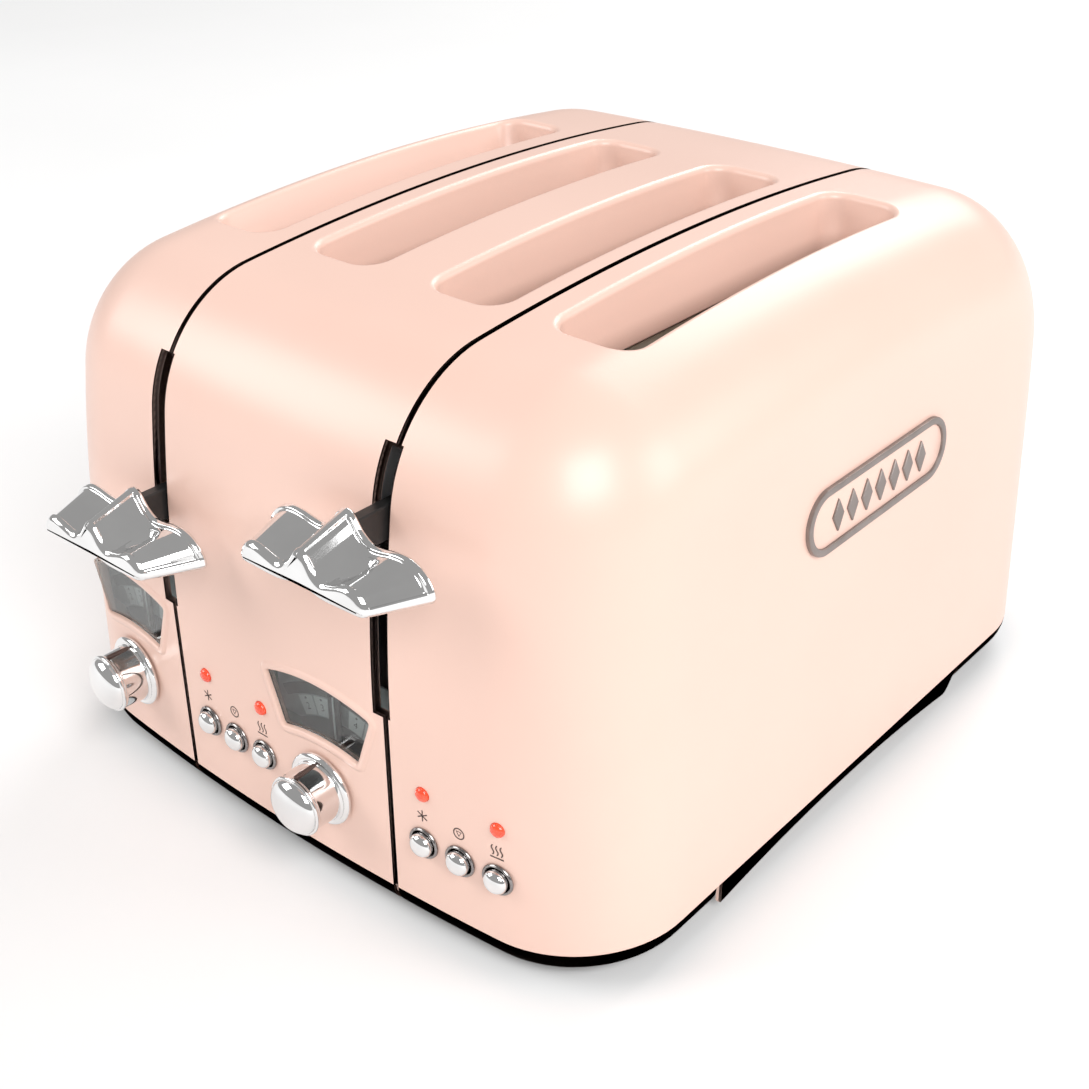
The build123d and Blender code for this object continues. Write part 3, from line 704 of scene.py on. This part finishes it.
def vary_colour(tree, shader, tex, dark, light):
    tree.links.new(ramp(tree, tex.outputs["Fac"], [(0.3, dark), (0.7, light)]).outputs["Color"],
                   shader.inputs["Base Color"])


def vary_rough(tree, shader, tex, low, high):
    span = tree.nodes.new("ShaderNodeMapRange")
    span.inputs["To Min"].default_value = low
    span.inputs["To Max"].default_value = high
    tree.links.new(tex.outputs["Fac"], span.inputs["Value"])
    tree.links.new(span.outputs["Result"], shader.inputs["Roughness"])


def bump(tree, shader, height, strength, distance):
    node = tree.nodes.new("ShaderNodeBump")
    node.inputs["Strength"].default_value = strength
    node.inputs["Distance"].default_value = distance
    tree.links.new(height, node.inputs["Height"])
    tree.links.new(node.outputs["Normal"], shader.inputs["Normal"])


def surface(name, dark, light, rough, scale=40.0, grain=None, stretch=(1, 1, 1), **values):
    """A material with a little variation in colour and gloss, and fine relief where grain is given."""
    material, tree, shader = nodes_of(name)
    tex = noise(tree, scale, stretch=stretch)
    vary_colour(tree, shader, tex, dark, light)
    vary_rough(tree, shader, tex, *rough)
    if grain:
        fine = noise(tree, grain[0], 2.0, stretch=stretch)
        bump(tree, shader, fine.outputs["Fac"], grain[1], grain[2])
    set_inputs(shader, **values)
    return material


PINK = surface("pink_enamel", (0.80, 0.545, 0.455), (0.83, 0.575, 0.485), (0.34, 0.40), 9.0,
               (900.0, 0.04, 0.0004), Coat_Weight=0.25, Coat_Roughness=0.28)
CHROME = surface("chrome", (0.80, 0.80, 0.80), (0.86, 0.86, 0.86), (0.035, 0.075), 60.0,
                 (700.0, 0.01, 0.0002), Metallic=1.0)
DARK_CHROME = surface("dark_chrome", (0.26, 0.24, 0.24), (0.34, 0.32, 0.31), (0.14, 0.22), 90.0, Metallic=1.0)
BADGE_METAL = surface("badge_metal", (0.24, 0.205, 0.19), (0.30, 0.26, 0.245), (0.34, 0.44), 120.0,
                      (2200.0, 0.08, 0.0002), Metallic=0.75)
BLACK = surface("black_plastic", (0.010, 0.010, 0.010), (0.018, 0.017, 0.017), (0.36, 0.46), 150.0,
                (2500.0, 0.10, 0.0002))
RUBBER = surface("rubber", (0.018, 0.018, 0.018), (0.03, 0.03, 0.03), (0.7, 0.85), 200.0,
                 (1800.0, 0.25, 0.0004))
STEEL = surface("sheet_steel", (0.42, 0.42, 0.43), (0.55, 0.55, 0.56), (0.28, 0.42), 30.0,
                (900.0, 0.05, 0.0003), stretch=(1, 12, 1), Metallic=1.0)
WIRE = surface("bright_wire", (0.50, 0.50, 0.50), (0.62, 0.62, 0.62), (0.22, 0.34), 200.0, Metallic=1.0)
SPRING = surface("spring_steel", (0.30, 0.30, 0.31), (0.42, 0.42, 0.43), (0.25, 0.35), 300.0, Metallic=1.0)
COPPER = surface("coil_copper", (0.45, 0.20, 0.10), (0.60, 0.28, 0.14), (0.30, 0.45), 400.0,
                 (1200.0, 0.4, 0.0004), stretch=(1, 1, 9), Metallic=0.8)
BOARD = surface("board_green", (0.02, 0.10, 0.05), (0.03, 0.15, 0.07), (0.30, 0.45), 300.0)
MICA = surface("mica", (0.40, 0.36, 0.29), (0.56, 0.51, 0.43), (0.35, 0.55), 120.0, (600.0, 0.15, 0.0004))
SCALE_GREY = surface("scale_grey", (0.040, 0.045, 0.045), (0.062, 0.066, 0.066), (0.30, 0.42), 160.0)
SCALE_BACK = surface("scale_back", (0.24, 0.27, 0.27), (0.32, 0.35, 0.35), (0.34, 0.46), 100.0)
SCALE_LIGHT = surface("scale_light", (0.56, 0.60, 0.59), (0.66, 0.70, 0.69), (0.35, 0.45), 180.0)
PRINT = surface("printed_brown", (0.060, 0.034, 0.028), (0.085, 0.050, 0.042), (0.45, 0.55), 300.0)
RIBBON = surface("heater_ribbon", (0.30, 0.27, 0.25), (0.42, 0.38, 0.35), (0.30, 0.45), 300.0, Metallic=1.0)


def lamp_material():
    material, tree, shader = nodes_of("lamp_red")
    tex = noise(tree, 260.0)
    vary_colour(tree, shader, tex, (0.62, 0.045, 0.018), (0.82, 0.085, 0.030))
    vary_rough(tree, shader, tex, 0.08, 0.14)
    set_inputs(shader, Subsurface_Weight=0.35, Subsurface_Scale=0.002, Coat_Weight=0.6, Coat_Roughness=0.05)
    shader.inputs["Emission Color"].default_value = (0.9, 0.10, 0.03, 1)
    shader.inputs["Emission Strength"].default_value = 0.25
    return material


def glass_material():
    material, tree, shader = nodes_of("window_glass")
    tex = noise(tree, 60.0)
    vary_rough(tree, shader, tex, 0.02, 0.06)
    set_inputs(shader, Base_Color=(0.80, 0.84, 0.84, 1), Transmission_Weight=1.0, IOR=1.45)
    return material


LAMP = lamp_material()
GLASS = glass_material()

SLOT_LOOKS = {"black_plastic": BLACK, "dark_chrome": DARK_CHROME, "mica": MICA, "bright_wire": WIRE,
              "sheet_steel": STEEL, "spring_steel": SPRING, "magnet": COPPER, "board": BOARD,
              "rubber": RUBBER, "base_pink": PINK, "chrome": CHROME, "knob_chrome": CHROME,
              "pink_enamel": PINK, "badge_frame": BADGE_METAL, "badge_field": PINK,
              "smoked_glass": GLASS, "lamp_lens": LAMP, "dial_print": SCALE_GREY}


def dress_cad_nodes():
    """Gives every carried-over CAD node the material of its slot."""
    for part in frame["record"]["subparts"]:
        piece = frame["nodes"][part["node"]]
        piece.data.materials.clear()
        piece.data.materials.append(SLOT_LOOKS[part["material_slot"]])


# ---------------------------------------------------------------- levers

WING_BACK, WING_FRONT = -173.6, -195.8
STEM_X, STEM_SPAN = -1.75, (-16.9, -4.7)    # the stem from the seam, and its edges from the ridge's peak
RIGHT_PEAK, LEFT_DROP = 168.1, 30.0
# half of the wing's outline at the back and at the front, from the ridge outwards and round the tip
BACK_TOP = [(0, 0), (3.0, -1.4), (6.4, -6.0), (10.5, -8.8), (15, -8.7), (20, -7.8), (25, -7.7), (29.5, -9.2),
            (33.0, -12.0), (35.2, -15.6), (35.7, -18.4)]
BACK_UNDER = [(34.4, -20.3), (31.4, -19.6), (26, -16.4), (20, -15.4), (13, -15.6), (6, -15.2), (0, -15.0)]
FRONT_TOP = [(0, -6.3), (2.5, -7.6), (5.6, -11.8), (9, -13.8), (12.5, -13.1), (16.5, -11.8), (20, -11.2),
             (23, -12.0), (25.1, -13.9), (26.1, -16.0), (26.2, -17.6)]
FRONT_UNDER = [(25.2, -18.9), (23.0, -19.3), (19, -19.5), (14, -19.7), (9, -19.6), (4, -18.6), (0, -18.0)]
LIP, LIP_STEP, RECESS = 2.5, 0.5, 1.0       # the rims' width, the step down from them and the pads' depth
RIDGE, TIP, SHARE_STEP = 0.034, 0.95, 0.016     # where a pad starts and ends, as shares of half the outline
# extra rows close to the rims, so that their edges stay crisp
RIM_ROWS = (-0.5, -0.2, 0.0, 0.15, 0.3, 0.5, 0.9)
# rows along the depth from each end, with how far the outline is drawn in there
BACK_EDGE = [(0.0, 1.3), (0.1, 0.8), (0.35, 0.35), (0.8, 0.08), (1.3, 0.0)]
FRONT_EDGE = [(2.2, 0.0), (1.5, 0.12), (0.8, 0.45), (0.3, 1.0), (0.0, 1.8)]


def smooth_line(points, shares):
    """Points of a curve through the given ones, at shares of its length."""
    pts = [Vector(p) for p in points]
    dense = []
    for k in range(len(pts) - 1):
        p0, p1, p2, p3 = pts[max(k - 1, 0)], pts[k], pts[k + 1], pts[min(k + 2, len(pts) - 1)]
        for t in np.linspace(0, 1, 12, endpoint=False):
            dense.append(0.5 * ((2 * p1) + (p2 - p0) * t + (2 * p0 - 5 * p1 + 4 * p2 - p3) * t * t
                                + (3 * p1 - p0 - 3 * p2 + p3) * t ** 3))
    dense = np.array([tuple(p) for p in dense + [pts[-1]]])
    far = np.concatenate([[0], np.cumsum(np.linalg.norm(np.diff(dense, axis=0), axis=1))])
    places = np.asarray(shares) * far[-1]
    return np.stack([np.interp(places, far, dense[:, 0]), np.interp(places, far, dense[:, 1])], -1)


def smooth_step(a, b, x):
    """Rises smoothly from 0 at a to 1 at b."""
    t = np.clip((x - a) / (b - a), 0, 1)
    return t * t * (3 - 2 * t)


def wing_outlines(top_at):
    """The wing's upper and lower outlines at the back and at the front: right tip to left tip and back."""
    under_at = np.linspace(0, 1, 22)
    mirror = lambda half: np.concatenate([half[::-1], half[1:] * (-1, 1)])
    tops, unders = [], []
    for top, under in ((BACK_TOP, BACK_UNDER), (FRONT_TOP, FRONT_UNDER)):
        tops.append(mirror(smooth_line(top, top_at)))
        inwards = smooth_line([top[-1]] + under, under_at)
        unders.append(mirror(inwards[::-1])[::-1][1:-1])
    return tops, unders


def lever_wing(side, seam):
    """Gull-wing lever: two polished pads sunk between rolled rims and a sharp middle ridge."""
    near_edge = np.array((0.004, 0.008, 0.012, 0.016))
    top_at = np.concatenate([np.linspace(0, RIDGE, 7), RIDGE + near_edge, np.linspace(0.065, TIP - 0.02, 46),
                             TIP + 0.002 - near_edge[::-1], np.linspace(TIP + 0.004, 1, 6)])
    share = np.concatenate([top_at[::-1], top_at[1:]])
    tops, unders = wing_outlines(top_at)
    length = WING_BACK - WING_FRONT
    stops = BACK_EDGE + [(LIP + d, 0) for d in RIM_ROWS]
    stops += [(d, 0) for d in np.linspace(LIP + 1.6, length - LIP - 1.6, 26)]
    stops += [(length - LIP - d, 0) for d in RIM_ROWS[:0:-1]]
    stops += [(length - d, inset) for d, inset in FRONT_EDGE]
    pad = smooth_step(RIDGE, RIDGE + SHARE_STEP, share) * (1 - smooth_step(TIP - SHARE_STEP, TIP, share))
    points = []
    for d, inset in stops:
        t = d / length
        top, under = (pair[0] * (1 - t) + pair[1] * t for pair in (tops, unders))
        last = length - LIP
        sunk = pad * smooth_step(LIP, LIP + LIP_STEP, d) * (1 - smooth_step(last - LIP_STEP, last, d))
        depth = np.concatenate([RECESS * sunk + groove(top[:, 0], t) * (sunk > 0.5), np.zeros(len(under))])
        outline = shrunk(np.concatenate([top, under]), depth + inset)
        points += [(x, WING_BACK - d, z) for x, z in outline]
    count = len(points) // len(stops)
    faces = ring_faces(len(stops), count)
    faces += [tuple(range(count))[::-1], tuple(range(len(points) - count, len(points)))]
    points = np.array(points) + (seam + STEM_X, 0, peak_height(seam))
    finish_mesh(f"{side}_lever_wing", points, faces, material=CHROME, body_name=f"{side}_lift",
                replaces=(f"{side}_lever_wing",), slot="chrome", sharp=62)


def peak_height(seam):
    """Height of a lever's ridge. The left one rests lower."""
    return RIGHT_PEAK - (LEFT_DROP if seam < 0 else 0)


def shrunk(points, depth):
    """A closed outline moved inwards by a depth of its own at each point."""
    along = unit(np.roll(points, -1, 0) - np.roll(points, 1, 0))
    area = np.sum(points[:, 0] * np.roll(points[:, 1], -1) - np.roll(points[:, 0], -1) * points[:, 1])
    inwards = np.stack([-along[:, 1], along[:, 0]], -1) * np.sign(area)
    return points + inwards * np.asarray(depth)[:, None]


def groove(x, t):
    """Depth of the thumb groove pressed into the right pad, round at the back and narrow at the front."""
    middle, half = 15.2 - 2.2 * t, 3.0 - 1.4 * t
    across = np.clip(1 - ((x - middle) / half) ** 2, 0, 1)
    return 1.5 * across ** 0.8 * float(smooth_step(0.22, 0.34, t)) * float(1 - smooth_step(0.45, 0.88, t))


STEM_HALF, STEM_ROOT, BOSS_HALF = 2.2, -141.2, 2.7


def lever_stem(side, seam):
    """Black arm that comes out of the slot and carries the wing."""
    x = seam + STEM_X
    low, high = (peak_height(seam) + z for z in STEM_SPAN)
    arm = block(x - STEM_HALF, x + STEM_HALF, WING_BACK - 3.0, STEM_ROOT, low, high, 0.9)
    boss = block(x - BOSS_HALF, x + BOSS_HALF, WING_BACK - 1.0, WING_BACK + 2.0, low + 1.0, high - 3.0, 0.8)
    finish_mesh(f"{side}_lever_stem", *joined([arm, boss]), material=BLACK, body_name=f"{side}_lift",
                replaces=(f"{side}_lever_stem",), slot="black_plastic", sharp=40)


# ---------------------------------------------------------------- controls

def rounded_profile(corners, n=5):
    """(radius, height) points with the third value of each corner as its rounding."""
    out = []
    for k, (r, z, size) in enumerate(corners):
        if size == 0 or k in (0, len(corners) - 1):
            out.append((r, z))
            continue
        p = Vector((r, z))
        a = Vector(corners[k - 1][:2]) - p
        b = Vector(corners[k + 1][:2]) - p
        s, e = p + a.normalized() * min(size, a.length * 0.5), p + b.normalized() * min(size, b.length * 0.5)
        for t in np.linspace(0, 1, n + 1):
            q = s * (1 - t) ** 2 + p * 2 * t * (1 - t) + e * t * t
            out.append((q.x, q.y))
    return out


def domed(r, base, rise, n, start=0.0, short=0.02):
    """(radius, height) points of a dome from its rim to its top."""
    turns = np.linspace(start, math.pi / 2 - short, n)
    return [(r * math.cos(a), base + rise * math.sin(a)) for a in turns] + [(0.0, base + rise)]


def knob(side, seam):
    """Flanged browning knob with a domed cap and an index line."""
    about = {"place": front_frame(seam + KNOB_X, KNOB_Z), "body_name": f"{side}_dial"}
    base = rounded_profile([(3.0, -1.0, 0), (3.0, 0.5, 0), (13.6, 0.5, 0.3), (14.3, 0.9, 0.5),
                            (14.3, 2.2, 0.8), (12.9, 3.1, 0.4), (12.2, 2.7, 0.4), (11.4, 3.3, 0.5),
                            (11.0, 12.6, 0.5), (11.5, 13.2, 0.35), (11.5, 14.2, 0.35), (10.9, 14.6, 0.2),
                            (10.5, 14.2, 0)])
    finish_mesh(f"{side}_browning_knob", *spun(base, 96), material=CHROME, slot="knob_chrome", sharp=60,
                replaces=(f"{side}_browning_knob",), **about)
    dome = [(10.6, 13.6)] + domed(10.6, 14.1, 5.0, 18)
    finish_mesh(f"{side}_knob_dome", *spun(dome, 96), material=CHROME, slot="knob_chrome", **about)
    index = block(-0.6, 0.6, 11.1, 12.1, 3.2, 12.8, 0.3)
    finish_mesh(f"{side}_knob_index", *index, material=PRINT, slot="black_plastic", sharp=40, **about)


def buttons(side, seam):
    """Three domed push buttons, the rings round them, and a lamp above the outer two."""
    ring = rounded_profile([(5.2, -3.0, 0), (5.2, 0.1, 0.1), (6.1, 0.12, 0.2), (6.1, 0.7, 0.5),
                            (5.5, 1.35, 0.4), (4.85, 0.7, 0.3), (4.85, -3.0, 0), (5.2, -3.0, 0)])
    button = [(0.0, -4.3), (4.45, -4.3), (4.45, 1.9)] + domed(4.45, 2.0, 2.7, 16, 0.1)
    lens = [(0.0, -4.5), (2.65, -4.5), (2.65, 0.2)] + domed(2.65, 0.3, 1.5, 10, 0.1, 0.03)
    rings = []
    for k, what in enumerate(("defrost", "cancel", "reheat")):
        place = front_frame(seam + BUTTON_X + k * BUTTON_PITCH, BUTTON_Z)
        finish_mesh(f"{side}_{what}_button", *spun(button, 64), material=CHROME, place=place, slot="chrome",
                    body_name=f"{side}_{what}_key", replaces=(f"{side}_{what}_button",), sharp=60)
        points, faces = spun(ring, 64)
        rings.append(([place @ p for p in points], faces))
    finish_mesh(f"{side}_button_bezels", *joined(rings), material=DARK_CHROME, slot="dark_chrome", sharp=60,
                replaces=(f"{side}_button_bezels",))
    for k, what in ((0, "defrost"), (2, "reheat")):
        finish_mesh(f"{side}_{what}_lamp", *spun(lens, 48), material=LAMP, slot="lamp_lens", sharp=70,
                    place=front_frame(seam + BUTTON_X + k * BUTTON_PITCH, LAMP_Z),
                    replaces=(f"{side}_{what}_lamp",))


def stroke(points, width, closed=False):
    """A flat printed line with a little thickness, as a solid about the plane Z = 0."""
    pts = [Vector(p) for p in points]
    count = len(pts)
    lefts, rights = [], []
    for k, p in enumerate(pts):
        a = pts[k - 1] if closed or k else p
        b = pts[(k + 1) % count] if closed or k < count - 1 else p
        way = (b - a).normalized()
        side = Vector((-way.y, way.x)) * width / 2
        lefts.append(p + side)
        rights.append(p - side)
    points, faces = [], []
    for h in (0.09, -0.05):
        points += [(q.x, q.y, h) for q in lefts] + [(q.x, q.y, h) for q in rights]
    n = count
    for k in range(n if closed else n - 1):
        m = (k + 1) % n
        faces += [(n + k, n + m, m, k), (2 * n + k, 2 * n + m, 3 * n + m, 3 * n + k),
                  (k, m, 2 * n + m, 2 * n + k), (3 * n + k, 3 * n + m, n + m, n + k)]
    if not closed:
        faces += [(0, 2 * n, 3 * n, n), (2 * n - 1, 4 * n - 1, 3 * n - 1, n - 1)]
    return points, faces


def icons(side, seam):
    """Plain printed symbols above the buttons: frost, stop and heat."""
    star = [stroke([(-2.3 * math.cos(a), -2.3 * math.sin(a)), (2.3 * math.cos(a), 2.3 * math.sin(a))], 0.42)
            for a in (math.pi / 2, math.pi / 6, -math.pi / 6)]
    disc = [stroke(arc(0, 0, 2.1, 0, 350, 35), 0.42, True),
            stroke([(-1.0, 0.8), (1.0, 0.8), (0.0, -1.0)], 0.38, True)]
    wave = [(0.45 * math.sin(t * 2 * math.pi), -1.6 + 4.0 * t) for t in np.linspace(0, 1, 15)]
    waves = [stroke([(x + sway, z) for sway, z in wave], 0.42) for x in (-1.7, 0.0, 1.7)]
    waves.append(stroke([(-2.6, -2.6), (2.6, -2.6)], 0.45))
    for k, (what, lines) in enumerate((("frost", star), ("stop", disc), ("heat", waves))):
        place = front_frame(seam + BUTTON_X + k * BUTTON_PITCH - 0.4, ICON_Z)
        finish_mesh(f"{side}_{what}_symbol", *joined(lines), material=PRINT, slot="black_plastic",
                    place=place)


# the dial behind the window: heights are from the knob's axis, and depths from the front wall
BED_DEPTH, BAND_DEPTH, FIELD_DEPTH, NUMBER_DEPTH = -10.5, -10.44, -10.40, -10.36
POINTER_DEPTH, BAND_SPAN, FIELD_SPAN = (-9.0, -8.1), 34.0, 9.4
BAND_DROP = 16.0            # the scale's arcs are struck from this far below the knob's axis


def window(side, seam):
    """Glass, printed scale with its numbers, and the pointer that swings over it."""
    cx = seam + KNOB_X
    fixed = {"place": front_frame(cx, KNOB_Z)}
    swings = {"body_name": f"{side}_dial", **fixed}
    outline = [(x - cx, z - KNOB_Z) for x, z in window_outline(seam)]
    edge = ((-0.2, -2.3), (-0.1, -2.1), (-0.1, -1.1), (-0.35, -0.8))
    glass = prism([(grown(outline, d), z) for d, z in edge])
    finish_mesh(f"{side}_window_lens", *glass, material=GLASS, slot="smoked_glass", sharp=40,
                replaces=(f"{side}_window_lens",), **fixed)
    bed = block(-30.5, 30.5, 15.5, 45.5, -11.4, BED_DEPTH, 0.5)
    finish_mesh(f"{side}_dial_scale", *bed, material=SCALE_BACK, slot="dial_print", sharp=40,
                replaces=(f"{side}_dial_scale",), **fixed)
    for k, (near, far) in enumerate(((30.2, 34.8), (13.5, 21.3)), 1):
        finish_mesh(f"{side}_scale_band_{k}", *band(near, far, -BAND_SPAN, BAND_SPAN, BAND_DEPTH),
                    material=SCALE_GREY, slot="dial_print", sharp=40, **fixed)
    fields = [band(21.9, 29.6, a, a + FIELD_SPAN, FIELD_DEPTH) for a in (-26.5, -16.0, 6.6, 17.1)]
    finish_mesh(f"{side}_scale_fields", *joined(fields), material=SCALE_LIGHT, slot="dial_print", sharp=40,
                **fixed)
    for k, a in enumerate((-21.8, -11.3, 11.3, 21.8), 2):
        number(side, k, a, fixed["place"])
    bar = block(-2.8, 2.8, 8.0, 35.2, *POINTER_DEPTH, 0.6)
    hub = prism([(arc(0, 0, 12, 0, 354, 59), z) for z in POINTER_DEPTH])
    shaft = prism([(arc(0, 0, 2.9, 0, 350, 35), z) for z in (-17.0, -0.6)])
    finish_mesh(f"{side}_dial_pointer", *joined([bar, hub, shaft]), material=BLACK, slot="black_plastic",
                sharp=40, replaces=(f"{side}_dial_pointer",), **swings)
    line = block(-0.35, 0.35, 16.0, 34.0, -8.1, -7.9, 0.2)
    finish_mesh(f"{side}_pointer_line", *line, material=SCALE_LIGHT, slot="dial_print", sharp=40, **swings)


def band(r0, r1, a0, a1, z):
    """A printed arc band of the scale, between two heights and two angles from straight up."""
    n = max(3, int(abs(a1 - a0) / 2))
    angles = [math.radians(90 - a) for a in np.linspace(a0, a1, n + 1)]
    sweep = lambda r, turns: [(r * math.cos(t), r * math.sin(t) - BAND_DROP) for t in turns]
    outline = (sweep(r1 + BAND_DROP, angles) + sweep(r0 + BAND_DROP, angles[::-1]))[::-1]
    return prism([(outline, z - 0.06), (outline, z)])


def number(side, value, angle, place):
    """One number of the scale with its dot, cut from the built-in typeface."""
    curve = bpy.data.curves.new("number", "FONT")
    curve.body = str(value)
    curve.size = 4.0
    curve.align_x, curve.align_y = "CENTER", "CENTER"
    curve.extrude = 0.02
    text = bpy.data.objects.new("number", curve)
    mesh = bpy.data.meshes.new_from_object(text)
    bpy.data.objects.remove(text)
    t = math.radians(-angle)
    r = 25.2 + BAND_DROP
    spot = Matrix.Translation((r * math.sin(-t), r * math.cos(t) - BAND_DROP, NUMBER_DEPTH))
    glyph = [Vector(v.co) for v in mesh.vertices], [tuple(p.vertices) for p in mesh.polygons]
    dot = prism([(arc(0, 3.3, 0.5, 0, 340, 17), z) for z in (-0.02, 0.02)])
    finish_mesh(f"{side}_scale_number_{value}", *joined([glyph, dot]), material=SCALE_GREY, slot="dial_print",
                place=place @ spot @ Matrix.Rotation(t, 4, "Z"))


# ---------------------------------------------------------------- badge and small parts

BADGE_Y, BADGE_Z, BADGE_HALF, BADGE_ROUND = 3.8, 131.0, (48.0, 12.5), 12.5
LOZENGE_PITCH, LOZENGE_HALF = 9.6, (3.6, 6.2)
CARD_OFF, CARD_Y, TURNS, TURN_Z, TURN_PITCH = 19.5, (-102.5, 73.0), 9, 36, 16


def badge():
    """Side badge: a plain metal frame round a painted field, with a row of lozenges."""
    spot = skin("right", [(BADGE_Y, BADGE_Z)])[0]
    out = Vector(facing(spot[None])[0])
    y = Vector((0, 1, 0))
    y = (y - out * y.dot(out)).normalized()
    place = Matrix((y, out.cross(y), out)).transposed().to_4x4()
    place.translation = Vector(spot)
    hx, hy = BADGE_HALF
    at = lambda d: along_sides(stadium_box(0, 0, hx, hy, BADGE_ROUND, d, 14), 6.0)
    section = [(0, -0.3), (0, 1.2), (-0.15, 1.55), (-0.5, 1.7), (-2.3, 1.7), (-2.65, 1.55), (-2.8, 1.2),
               (-2.8, -0.3), (0, -0.3)]
    rows = [(at(d), z) for d, z in section]
    count = len(rows[0][0])
    points = [Vector((x, y, h)) for outline, h in rows for x, y in outline]
    finish_mesh("badge_ring", points, ring_faces(len(rows), count), material=BADGE_METAL, slot="badge_frame",
                replaces=("badge_ring",), sharp=35, place=place)
    field = prism([(at(-2.85), -0.3), (at(-2.85), 0.7), (at(-3.1), 0.8)])
    finish_mesh("badge_plate", *field, material=PINK, slot="badge_field", replaces=("badge_plate",), sharp=40,
                place=place)
    marks = []
    wide, tall = LOZENGE_HALF
    for x in (k * LOZENGE_PITCH for k in range(-3, 4)):
        lozenge = lambda d: [(x + wide + d, 0), (x, tall + d), (x - wide - d, 0), (x, -tall - d)]
        marks.append(prism([(lozenge(0), 0.6), (lozenge(0), 1.3), (lozenge(-0.4), 1.6)]))
    finish_mesh("badge_lozenges", *joined(marks), material=BADGE_METAL, slot="badge_frame", sharp=30,
                place=place)


def heater_ribbons():
    """Flat resistance wire wound round each heater card."""
    for k, x in enumerate(SLOT_X, 1):
        ribbons = []
        for card in (x - CARD_OFF, x + CARD_OFF):
            for z in (TURN_Z + j * TURN_PITCH for j in range(TURNS)):
                ribbons.append(block(card - 0.55, card + 0.55, *CARD_Y, z, z + 1.6, 0.3))
        finish_mesh(f"heater_ribbons_{k}", *joined(ribbons), material=RIBBON, slot="bright_wire")


# ---------------------------------------------------------------- stage

# name, place in metres, power and size of each soft light
LIGHTS = (("key", (1.7, -1.0, 1.7), 46.0, 1.3), ("fill", (-1.9, -1.6, 1.5), 34.0, 1.5),
          ("back", (-0.4, 2.4, 1.9), 40.0, 1.6), ("side", (2.3, 1.2, 1.2), 20.0, 1.2))
FLOOR_HALF = 6.0


def studio():
    """Pale floor, soft lights and the camera."""
    scene = bpy.context.scene
    scene.view_settings.view_transform = "Standard"
    world = bpy.data.worlds.new("studio")
    world.use_nodes = True
    world.node_tree.nodes["Background"].inputs["Color"].default_value = (1.0, 0.99, 0.98, 1)
    world.node_tree.nodes["Background"].inputs["Strength"].default_value = 0.38
    scene.world = world
    floor_mesh = bpy.data.meshes.new("floor")
    corners = [(x * FLOOR_HALF, y * FLOOR_HALF, 0) for x, y in ((-1, -1), (1, -1), (1, 1), (-1, 1))]
    floor_mesh.from_pydata(corners, [], [(0, 1, 2, 3)])
    floor = bpy.data.objects.new("floor", floor_mesh)
    scene.collection.objects.link(floor)
    material, tree, shader = nodes_of("pale_floor")
    tex = noise(tree, 3.0)
    vary_colour(tree, shader, tex, (0.86, 0.86, 0.86), (0.88, 0.88, 0.88))
    vary_rough(tree, shader, tex, 0.7, 0.8)
    floor_mesh.materials.append(material)
    floor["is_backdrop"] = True
    aim = Vector((0, 0, 0.1))
    for name, place, power, width in LIGHTS:
        light = bpy.data.lights.new(name, "AREA")
        light.energy, light.size = power, width
        lamp = bpy.data.objects.new(name, light)
        lamp.location = place
        lamp.rotation_euler = (aim - Vector(place)).to_track_quat("-Z", "Y").to_euler()
        scene.collection.objects.link(lamp)
    camera = bpy.data.cameras.new("camera")
    camera.lens, camera.sensor_width = 52.47, 36.0
    camera.shift_x, camera.shift_y = -0.0018, -0.0011
    view = bpy.data.objects.new("camera", camera)
    view.location = to_frame((363.1, -452.4, 395.3))[0]
    view.rotation_euler = (math.radians(59.85), 0, math.radians(40.04))
    scene.collection.objects.link(view)
    scene.camera = view


studio()
dress_cad_nodes()
make_shell("left_shell", None, -SEAM)
make_shell("centre_shell", -SEAM, SEAM)
make_shell("right_shell", SEAM, None)
badge()
heater_ribbons()
for side, seam in SEAMS.items():
    lever_wing(side, seam)
    lever_stem(side, seam)
    knob(side, seam)
    buttons(side, seam)
    icons(side, seam)
    window(side, seam)

flat = lambda box: [list(map(float, corner)) for corner in box]
{"cad": flat(CAD_BOX), "visual": flat(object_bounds())}
